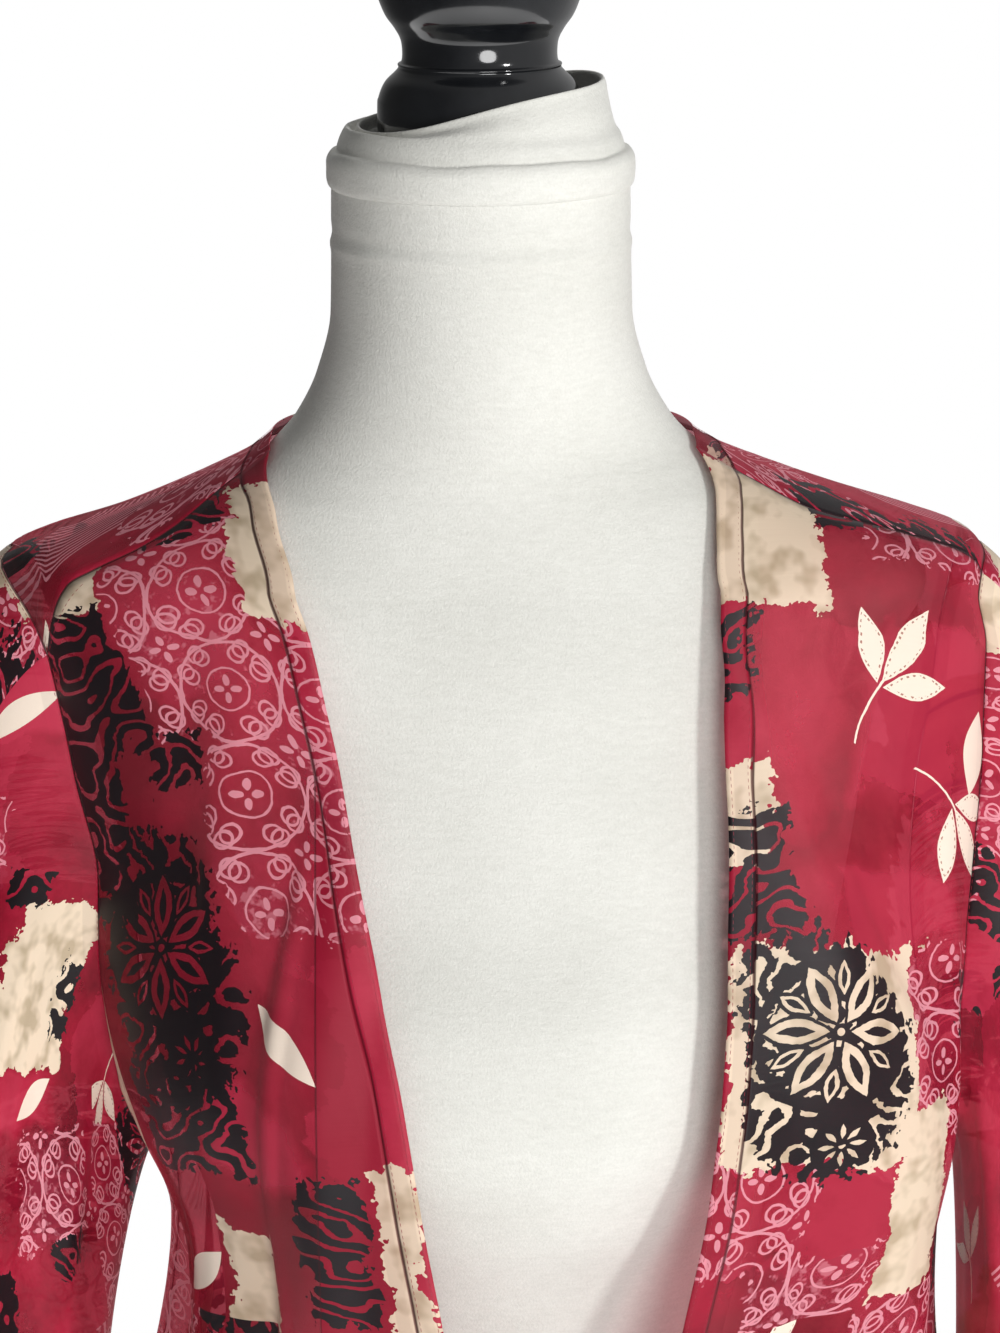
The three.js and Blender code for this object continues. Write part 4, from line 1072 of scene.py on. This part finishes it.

# %% Patches and motifs listed where the fronts and one sleeve are seen most
# u runs outward from the band's seam and v up from the hem. rose, cream, lattice and ink are boxes
# of a centre and two half sizes. The others are centres and angles. All hold above a height and
# inside a width, and the repeating print takes over beyond them.
HIGHEST_FAN = 470
PLACED = {
    "left": {
        "above": 388, "inside": 128, "leaf_half": 6.2,
        "rose": [(52, 470, 22, 16)],
        "cream": [(0, 706, 12, 30), (90, 706, 25, 17), (70, 404, 13, 24), (-2, 420, 8, 44)],
        "lattice": [(24, 672, 38, 44), (14, 606, 26, 46)],
        "ink": [(42, 727, 27, 13), (86, 662, 20, 32), (112, 612, 20, 44), (58, 620, 14, 12),
                (86, 478, 30, 24), (24, 430, 12, 32)],
        "medallion": [(80, 553, -0.1)],
        "sprig": [(150, 650, 1.2)],
        "leaf": [(28, 512, 0.95), (96, 404, 2.4)],
    },
    "right": {
        "above": 388, "inside": 128, "leaf_half": 9,
        "rose": [(82, 630, 30, 36), (66, 560, 24, 14)],
        "cream": [(12, 714, 27, 36), (34, 500, 42, 44), (84, 432, 15, 46), (-2, 596, 9, 20)],
        "lattice": [(92, 712, 34, 20), (4, 448, 26, 30), (104, 500, 28, 42), (40, 402, 26, 20)],
        "ink": [(54, 724, 17, 11), (2, 574, 13, 26), (-4, 660, 9, 18), (112, 520, 12, 14)],
        "medallion": [(33, 512, 0.25)],
        "sprig": [(57, 645, 0.92), (93, 600, -0.85)],
        "leaf": [(108, 622, 1.35)],
    },
    "sleeve_left": {
        "above": 92, "inside": 152, "leaf_half": 7,
        "rose": [(20, 400, 24, 24), (60, 212, 50, 12)],
        "cream": [(88, 266, 30, 40), (4, 436, 16, 15)],
        "lattice": [(118, 172, 28, 25), (24, 326, 15, 18)],
        "ink": [(58, 312, 14, 9), (112, 262, 8, 18), (122, 140, 10, 10), (68, 120, 10, 20)],
        "medallion": [(420, 300, 0.3)],
        "sprig": [(420, 400, 0.3)],
        "leaf": [(10, 384, 1.2), (96, 214, 0.5)],
    },
}


def within(places, u, v):
    """Less than 1 inside any of some boxes, each given by its centre and two half sizes."""
    nearest = None
    for centre_u, centre_v, half_u, half_v in places:
        share = abs(u - centre_u) * (1 / half_u) | abs(v - centre_v) * (1 / half_v)
        nearest = share if nearest is None else nearest & share
    return nearest


def from_nearest(places, u, v):
    """The point as seen from the nearest of some places, each a centre and an angle."""
    x = y = best = None
    for centre_u, centre_v, angle in places:
        seen_x, seen_y = turned(u - centre_u, v - centre_v, angle)
        reach = far(seen_x, seen_y)
        if best is None:
            x, y, best = seen_x, seen_y, reach
            continue
        closer = reach < best
        x, y, best = x + (seen_x - x) * closer, y + (seen_y - y) * closer, best & reach
    return x, y


def choose(factor, one, other):
    return one + (other - one) * factor


# %% The print
PATCH_SIZE, LATTICE_SIZE, LEAF_SPACING, BLOOM_SPACING = 86, 42, 112, 165
STIPPLE, LATTICE_GROUND = (0.40, 0.19, 0.14), (0.58, 0.04, 0.10)
PIGMENT = {"cream": 0.75, "pale": 0.95, "ink": 1.08, "drawn": 0.55, "fans": 0.4}
SEAM_WIDTH, ALLOWANCE_WIDTH = (0.45, 0.95), (7.0, 7.6)
# The dark colour of sewn seams, also used for the painted shade along the left front's fold.
DARK_SEAM_AND_PAINTED_FOLD_SHADE = (0.030, 0.002, 0.005)
CLEAR_TINT, FULLEST = (0.85, 0.41, 0.46, 1), 0.97
VEIL, VEIL_TINT = 0.13, (0.98, 0.93, 0.94, 1)


def printed(finish, shift, placed=None):
    """The print's colour, and how much pigment covers the cloth."""
    uv = finish.node("ShaderNodeUVMap", {"uv_map": "cloth"}).outputs[0]
    u0, v0 = [1000 * part for part in finish.split(uv)[:2]]
    u, v = u0 + shift[0], v0 + shift[1]
    upper = (v0 > placed["above"]) * (u0 < placed["inside"]) if placed else None
    broad = finish.split(finish.noise(finish.point(u, v), 55, 2, kind="2D").outputs["Color"])
    fine = finish.split(finish.noise(finish.point(u, v), 5.5, 2, 0.65, kind="2D").outputs["Color"])
    wander, shake = [c - 0.5 for c in broad], [c - 0.5 for c in fine]

    torn = finish.point(u + wander[0] * 60 + shake[0] * 13, v + wander[1] * 60 + shake[1] * 13)
    patch = finish.cells(torn, PATCH_SIZE, 0.85)
    kind, second, third = finish.split(patch.outputs["Color"])
    cream, net, spill = kind < 0.24, (third < 0.42) * (kind > 0.24), None
    if placed:
        ragged_u, ragged_v = u0 + wander[0] * 26 + shake[0] * 12, v0 + wander[1] * 26 + shake[1] * 12
        cream = choose(upper, cream, within(placed["cream"], ragged_u, ragged_v) < 1)
        net = choose(upper, net, within(placed["lattice"], ragged_u, ragged_v) < 1) * (1 - cream)
        spill = (within(placed["ink"], ragged_u, ragged_v) < 1) * upper

    wash = wander[2] * 1.8 + shake[2] * 0.35 + second * 0.9
    if placed:
        outside = within(placed["rose"], u0 + wander[0] * 40, v0 + wander[1] * 40)
        wash = wash + ramp(-outside, -1.2, -0.7) * 0.8
    tone = ramp(wash, -0.05, 0.95)
    colour = finish.mix(ramp(tone, 0.0, 0.5), DEEP, CRIMSON)
    colour = finish.mix(ramp(tone, 0.45, 1.0), colour, ROSE)
    mottle = ramp(finish.grain(finish.point(u, v), 16, 2, 0.6, "2D"), 0.46, 0.68)
    colour = finish.mix(cream, colour, finish.mix(mottle * 0.7, CREAM, TAN))

    lines, blossoms = lattice(u + wander[0] * 12 + shake[0], v + wander[1] * 12 + shake[1], LATTICE_SIZE)
    splash = ramp(shake[0] + shake[1] + wander[1] * 0.8, 0.20, 0.36)
    colour = finish.mix(net * ramp(wander[1] + shake[2] * 0.4, -0.1, 0.2) * 0.5, colour, LATTICE_GROUND)
    drawn = net * ((lines | blossoms) * 0.95 | splash * 0.5)
    colour = finish.mix(drawn, colour, PINK_LINE)

    fans = fan(*[a - b for a, b in zip((u, v), finish.split(patch.outputs["Position"]))])
    fans = fans * (third > 0.80) * (1 - cream)
    if placed:
        fans = fans * (v0 < HIGHEST_FAN)
    colour = finish.mix(fans, colour, PINK_LINE)

    leaf_cell = finish.cells(finish.point(u + 310, v + 170), LEAF_SPACING, 0.6)
    centre = finish.split(leaf_cell.outputs["Position"])
    chance, spin, _ = finish.split(leaf_cell.outputs["Color"])
    lx, ly = turned(u + 310 - centre[0], v + 170 - centre[1], spin * 6.283)
    bare = (1 - cream) * (1 - net) * (chance < 0.7)
    if placed:
        near_x, near_y = from_nearest(placed["sprig"], u0, v0)
        lx, ly, bare = choose(upper, lx, near_x), choose(upper, ly, near_y), choose(upper, bare, upper)
    leaf, stipple, stem = sprig(lx, ly + shake[0] * 0.8)
    if placed:
        near_x, near_y = from_nearest(placed["leaf"], u0, v0)
        single = (petal(near_x + 18, abs(near_y), 1, 36, placed["leaf_half"]) < 0) * upper
        leaf = leaf | single
    pale = (leaf | stem) * bare
    colour = finish.mix(pale, colour, PALE_LEAF)
    colour = finish.mix(stipple * bare, colour, STIPPLE)

    bloom_cell = finish.cells(finish.point(u, v), BLOOM_SPACING, 0.55)
    centre = finish.split(bloom_cell.outputs["Position"])
    present = finish.split(bloom_cell.outputs["Color"])[0] < 0.62
    bx, by = u - centre[0], v - centre[1]
    if placed:
        near_x, near_y = from_nearest(placed["medallion"], u0, v0)
        bx, by, present = choose(upper, bx, near_x), choose(upper, by, near_y), choose(upper, present, upper)
    ink = medallion(finish, bx + shake[0] * 1.4, by + shake[1] * 1.4, wander[2] * 1.6 + shake[0]) * present
    leafy = scrolls(finish, u * 0.8 + shake[0] * 3, v + 300, 17)
    spill = leafy * ((second > 0.80) * (wander[0] > -0.05) if spill is None else spill)
    ink = (ink | spill) * (1 - pale)
    colour = finish.mix(ink, colour, INK)
    pigment = (cream * PIGMENT["cream"]) | (pale * PIGMENT["pale"]) | (ink * PIGMENT["ink"])
    pigment = pigment | (drawn * PIGMENT["drawn"]) | (fans * PIGMENT["fans"])
    return colour, pigment


def sheer_cloth(name, shift, thin, deeper, placed=None, doubled=None):
    """Thin printed cloth. thin is the share that it covers where there is no pigment."""
    finish = Finish(name)
    colour, pigment = printed(finish, shift, placed)
    edge = Signal(finish.node("ShaderNodeAttribute", {"attribute_name": "edge"}).outputs["Fac"]) * 1000
    seam, allowance = (1 - ramp(edge, *SEAM_WIDTH)), (1 - ramp(edge, *ALLOWANCE_WIDTH))
    colour = finish.mix(seam * 0.85 | allowance * 0.12, colour, DARK_SEAM_AND_PAINTED_FOLD_SHADE)
    cover = pigment * 0.5 + (thin + allowance * 0.12)
    colour = finish.mix((1 - pigment) * deeper, colour, DEEP)
    if doubled:
        x, _, z = finish.split(finish.node("ShaderNodeTexCoord").outputs["Object"])
        twice = (x > doubled[0]) * (z < doubled[1])
        cover = cover + twice * 0.5
        colour = finish.mix(twice * 0.85 * (1 - pigment), colour, DEEP)
        # A thin dark line painted along the fold of the doubled left front: painted shade of the fold, not a
        # seam.
        painted_fold_shade = (abs(x - doubled[0]) < 0.0004) * (z < doubled[1])
        colour = finish.mix(painted_fold_shade * 0.6, colour, DARK_SEAM_AND_PAINTED_FOLD_SHADE)
    uv = finish.split(finish.node("ShaderNodeUVMap", {"uv_map": "cloth"}).outputs[0])
    weave = (uv[0] * 9000).math("SINE") * (uv[1] * 9000).math("SINE")
    slub = finish.grain(finish.point(uv[0] * 40, uv[1] * 900), 1.0, 0, 0.5, "2D")
    bump = finish.bumped(weave * 0.4 + slub, 0.00012, 0.35)
    body = finish.surface(
        {"Sheen Weight": 0.06, "Sheen Roughness": 0.45, "Specular IOR Level": 0.22},
        Base_Color=colour, Roughness=0.50 - pigment * 0.1, Normal=bump,
    )
    return finish.see_through(body, cover & FULLEST, CLEAR_TINT)


def plain_reverse():
    """The inner face: a light red veil, so that the print shows through it as on thin cloth."""
    finish = Finish("printed_voile_reverse")
    body = finish.surface(
        {"Base Color": (0.35, 0.009, 0.038, 1), "Roughness": 0.59, "Specular IOR Level": 0.3})
    return finish.see_through(body, VEIL, VEIL_TINT)


# %% Where each piece is cut from the print, in millimetres
PRINT_PLACES = {
    "front_left": (140, -60), "front_right": (1040, 260), "back": (600, 1400),
    "sleeve_left": (2100, 330), "sleeve_right": (2900, 610),
    "band_left": (135, -60), "band_right": (1035, 260), "band_back": (520, 700),
}
# What each piece covers where there is no pigment, and how far it is dyed deeper.
THIN = {"front": 0.42, "back": 0.52, "sleeve": 0.60, "band": 0.82}
DEEPER = {"front": 0.0, "back": 0.1, "sleeve": 0.1, "band": 0.5}
LIFTED_EDGE = (-0.0645, 1.298)      # the left front is doubled nearer the middle than this, below it
reverse = plain_reverse()
for name, piece in PANELS.items():
    part, side = name.split("_")[0], name.split("_")[-1]
    placed = PLACED.get(side if part in ("front", "band") else name)
    doubled = LIFTED_EDGE if name == "front_left" else None
    piece.data.materials.append(
        sheer_cloth(f"printed_voile_{name}", PRINT_PLACES[name], THIN[part], DEEPER[part], placed, doubled))
    piece.data.materials.append(reverse)
print("cloth materials:", len(PANELS))

# %% [markdown]
# ## Jersey, black gloss and steel
# The cover is a fine off-white knit with a dry nubby face. The finial and collar are black gloss,
# and the pole and base black satin paint. Fine noise keeps each from looking drawn with a ruler.


# %% Hard and soft finishes
def jersey_finish():
    finish = Finish("off_white_jersey")
    place = finish.node("ShaderNodeTexCoord").outputs["Object"]
    x, y, z = finish.split(place)
    nub = finish.grain(place, 0.0011, 2, 0.7)
    slub = finish.grain(finish.point(x * 0.25, y * 0.25, z), 0.0016, 1, 0.6)
    cloud = finish.grain(place, 0.05, 0)
    tone = ramp(nub * 0.5 + slub * 0.35 + cloud * 0.4, 0.35, 0.85)
    colour = finish.mix(tone, (0.655, 0.650, 0.600), (0.80, 0.795, 0.745))
    bump = finish.bumped(nub, 0.0005, 0.55)
    body = finish.surface({"Sheen Weight": 0.2, "Specular IOR Level": 0.2},
                          Base_Color=colour, Roughness=0.86 + nub * 0.1, Normal=bump)
    return finish.close(body)


def black_finish(name, rough, coat, metal=0.0):
    finish = Finish(name)
    place = finish.node("ShaderNodeTexCoord").outputs["Object"]
    worn = finish.grain(place, 0.02, 4, 0.6)
    colour = finish.mix(ramp(worn, 0.35, 0.7), (0.006, 0.0065, 0.008), (0.011, 0.012, 0.014))
    body = finish.surface({"Coat Weight": coat, "Coat Roughness": 0.06, "Metallic": metal},
                          Base_Color=colour, Roughness=rough + worn * 0.12)
    return finish.close(body)


jersey = jersey_finish()
gloss = black_finish("black_gloss_lacquer", 0.06, 0.6)
satin = black_finish("black_satin_paint", 0.32, 0.1, 0.4)
for piece, material in ((torso, jersey), (jersey_top, jersey), (finial, gloss), (collar, gloss),
                        (pole, satin), (base, satin)):
    piece.data.materials.append(material)
print("form materials set")

# %% [markdown]
# ## Stitches
# Every seam and hem is sewn, so the stitches are instances of one short thread along a line. The
# Geometry Nodes tree takes the line, the stitch length and the thread's thickness as inputs. The
# result is made a plain mesh before the frame sees it.


# %% The stitch tree
def thread_finish():
    finish = Finish("crimson_thread")
    place = finish.node("ShaderNodeTexCoord").outputs["Object"]
    ply = finish.grain(place, 0.0006, 2)
    colour = finish.mix(ply, (0.20, 0.006, 0.022), (0.38, 0.014, 0.045))
    return finish.close(finish.surface({}, Base_Color=colour, Roughness=0.55 + ply * 0.1))


def stitch_tree(material):
    tree = bpy.data.node_groups.new("stitches", "GeometryNodeTree")
    socket = tree.interface.new_socket
    socket("Geometry", in_out="INPUT", socket_type="NodeSocketGeometry")
    for name in ("Stitch length", "Gap", "Thread radius"):
        socket(name, in_out="INPUT", socket_type="NodeSocketFloat")
    socket("Geometry", in_out="OUTPUT", socket_type="NodeSocketGeometry")

    def add(kind, settings=(), **links):
        node = tree.nodes.new(kind)
        for name, value in dict(settings).items():
            setattr(node, name, value)
        for name, value in links.items():
            plug(tree, node.inputs[name.replace("_", " ")], value)
        return node

    given = add("NodeGroupInput").outputs
    pitch = add("ShaderNodeMath", {"operation": "ADD"})
    plug(tree, pitch.inputs[0], given["Stitch length"])
    plug(tree, pitch.inputs[1], given["Gap"])
    curve = add("GeometryNodeMeshToCurve", Mesh=given["Geometry"])
    even = add("GeometryNodeResampleCurve", {"mode": "LENGTH"},
               Curve=curve.outputs[0], Length=pitch.outputs[0])
    thread = add("GeometryNodeMeshUVSphere", Segments=6, Rings=4, Radius=0.5)
    wide = add("ShaderNodeCombineXYZ", X=given["Thread radius"], Y=given["Thread radius"],
               Z=given["Stitch length"])
    double = add("ShaderNodeVectorMath", {"operation": "MULTIPLY"})
    plug(tree, double.inputs[0], wide.outputs[0])
    double.inputs[1].default_value = (2, 2, 1)
    tangent = add("GeometryNodeInputTangent")
    aim = add("FunctionNodeAlignRotationToVector", {"axis": "Z"}, Vector=tangent.outputs[0])
    placed = add("GeometryNodeInstanceOnPoints", Points=even.outputs[0], Instance=thread.outputs[0],
                 Rotation=aim.outputs[0], Scale=double.outputs[0])
    real = add("GeometryNodeRealizeInstances", Geometry=placed.outputs[0])
    painted = add("GeometryNodeSetMaterial", Geometry=real.outputs[0], Material=material)
    add("NodeGroupOutput", Geometry=painted.outputs[0])
    return tree


# %% Sew every line
STITCH = {"Stitch length": 0.0018, "Gap": 0.0008, "Thread radius": 0.00013}
tree = stitch_tree(thread_finish())
sockets = {item.name: item.identifier for item in tree.interface.items_tree
           if item.in_out == "INPUT" and item.name in STITCH}


def seam_line(points, outward):
    """Points of a line, moved out to lie on the cloth's outer face."""
    return points + outward * (SHEET_THICKNESS / 2 + 0.06)


lines, links = [], []
for name, line in SEAM_LINES.items():
    centre = np.array([0, 0, 0]) if "cuff" not in name and "armhole" not in name else line.mean(0)
    outward = unit((line - centre) * (1, 1, 0))
    if "armhole" in name:
        away = np.full(len(line), np.sign(centre[0]) * 0.5)
        outward = unit(np.stack([away, line[:, 1], np.full(len(line), 60.0)], -1))
    start = sum(len(part) for part in lines)
    lines.append(seam_line(line, outward))
    links += [(start + i, start + i + 1) for i in range(len(line) - 1)]
line_mesh = bpy.data.meshes.new("seam_lines")
line_mesh.from_pydata([tuple(p) for p in np.concatenate(lines) * MM], links, [])
line_piece = bpy.data.objects.new("seam_lines", line_mesh)
WHOLE.objects.link(line_piece)
sewing = line_piece.modifiers.new("sewing", "NODES")
sewing.node_group = tree
for name, value in STITCH.items():
    sewing[sockets[name]] = value
bpy.context.view_layer.update()
sewn = line_piece.evaluated_get(bpy.context.evaluated_depsgraph_get())
stitch_mesh = bpy.data.meshes.new_from_object(sewn)
line_piece.modifiers.remove(sewing)
bpy.data.objects.remove(line_piece)
stitches = bpy.data.objects.new("cardigan_stitches", stitch_mesh)
WHOLE.objects.link(stitches)
stitch_mesh.polygons.foreach_set("use_smooth", [True] * len(stitch_mesh.polygons))
print("stitches:", len(stitch_mesh.polygons) // 24, "of", len(stitch_mesh.polygons), "faces")

# %% [markdown]
# ## Joining the frame
# Every piece rides on the one body and stands for its solid.

# %% Ride and replace
SLOTS = {"front": "sheer_cloth", "back": "sheer_cloth", "sleeve": "sheer_cloth", "band": "sheer_band"}
for name, piece in PANELS.items():
    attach(piece, "root")
    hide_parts(name)
    SLOTS[name.split("_")[0]]
for piece, node, slot in (
    (torso, "form_torso", "jersey"), (jersey_top, "form_jersey_top", "jersey"),
    (finial, "form_finial", "black_gloss"), (collar, "form_collar", "black_gloss"),
    (pole, "form_pole", "black_metal"), (base, "form_base", "black_metal"),
):
    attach(piece, "root")
    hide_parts(node)
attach(stitches, "root")
for name, cut in CUTS.items():
    if name == "neck":
        continue
    width, length = cut["flat"]
    area = min(max(cut["area"], 0.3 * width * length), width * length)

# %% [markdown]
# ## Floor, light and camera
# A round pale floor glows towards its edge, so that it runs into the white sky without a line.
# The sky gives more light from the right than from the left. A key light from the front right
# shapes the neck and throws the loose edge's shadow onto the form. Two wide soft lights fill the
# front and the back.

# %% Stage
FLOOR_RADIUS = 1.85
GLOW_INSIDE, GLOW_AT_EDGE = (0.30, 0.30, 0.30), (1.0, 1.0, 1.0)
bpy.ops.mesh.primitive_circle_add(vertices=128, radius=FLOOR_RADIUS, fill_type="NGON")
floor = bpy.context.object
floor.name = "floor"
finish = Finish("pale_floor")
place = finish.node("ShaderNodeTexCoord").outputs["Object"]
speck = finish.grain(place, 0.4, 0)
tone = finish.mix(speck, (0.90, 0.90, 0.90), (0.94, 0.94, 0.94))
out = ramp(far(*finish.split(place)[:2]), 0.7, 0.97 * FLOOR_RADIUS)
glow = finish.mix(out * out * (3 - 2 * out), GLOW_INSIDE, GLOW_AT_EDGE)
floor.data.materials.append(finish.close(finish.surface(
    {"Specular IOR Level": 0.1, "Emission Strength": 1.0},
    Base_Color=tone, Roughness=0.9 + speck * 0.05, Emission_Color=glow)))

SKY_LEFT, SKY_RIGHT, SKY_SEEN = 0.07, 0.44, 1.0
world = bpy.data.worlds.new("white sky")
bpy.context.scene.world = world
world.use_nodes = True
sky = world.node_tree
sky.nodes["Background"].inputs["Color"].default_value = (1, 1, 1, 1)
seen = Signal(sky.nodes.new("ShaderNodeLightPath").outputs["Is Camera Ray"])
apart = sky.nodes.new("ShaderNodeSeparateXYZ")
sky.links.new(sky.nodes.new("ShaderNodeTexCoord").outputs["Generated"], apart.inputs[0])
light = ramp(Signal(apart.outputs["X"]), -0.7, 0.7) * (SKY_RIGHT - SKY_LEFT) + SKY_LEFT
strength = light + (SKY_SEEN - light) * seen
plug(sky, sky.nodes["Background"].inputs["Strength"], strength)
bpy.context.scene.view_settings.view_transform = "Standard"


def soft_light(name, place, target, size, power):
    light = bpy.data.lights.new(name, "AREA")
    light.shape = "DISK"
    light.size = size
    light.energy = power
    lamp = bpy.data.objects.new(name, light)
    WHOLE.objects.link(lamp)
    lamp.location = place
    lamp.rotation_euler = (Vector(target) - Vector(place)).to_track_quat("-Z", "Y").to_euler()
    return lamp


soft_light("key", (1.35, -1.6, 2.0), (0.05, 0, 1.2), 0.28, 22.5)
soft_light("fill", (0.5, -2.3, 1.1), (0, 0, 1.15), 1.0, 22.5)
soft_light("back", (-0.5, 2.5, 2.1), (0, 0, 1.1), 1.4, 30).visible_glossy = False

# %% Camera
PITCH, ROLL, DISTANCE, FOCAL, SENSOR = 16.0, -0.37, 1.3, 90.5, 36
TARGET = Vector((0.0063, -0.060, 1.3003))
pitch = math.radians(PITCH)
toward = Vector((0, math.cos(pitch), -math.sin(pitch)))
lens = bpy.data.cameras.new("camera")
lens.sensor_fit = "VERTICAL"
lens.sensor_height = SENSOR
lens.lens = FOCAL
lens.clip_start = 0.05
camera = bpy.data.objects.new("camera", lens)
WHOLE.objects.link(camera)
camera.matrix_world = (Matrix.Translation(TARGET - toward * DISTANCE)
                       @ toward.to_track_quat("-Z", "Y").to_matrix().to_4x4()
                       @ Matrix.Rotation(math.radians(ROLL), 4, "Z"))
bpy.context.scene.camera = camera
print("camera at", [round(v, 3) for v in camera.location])
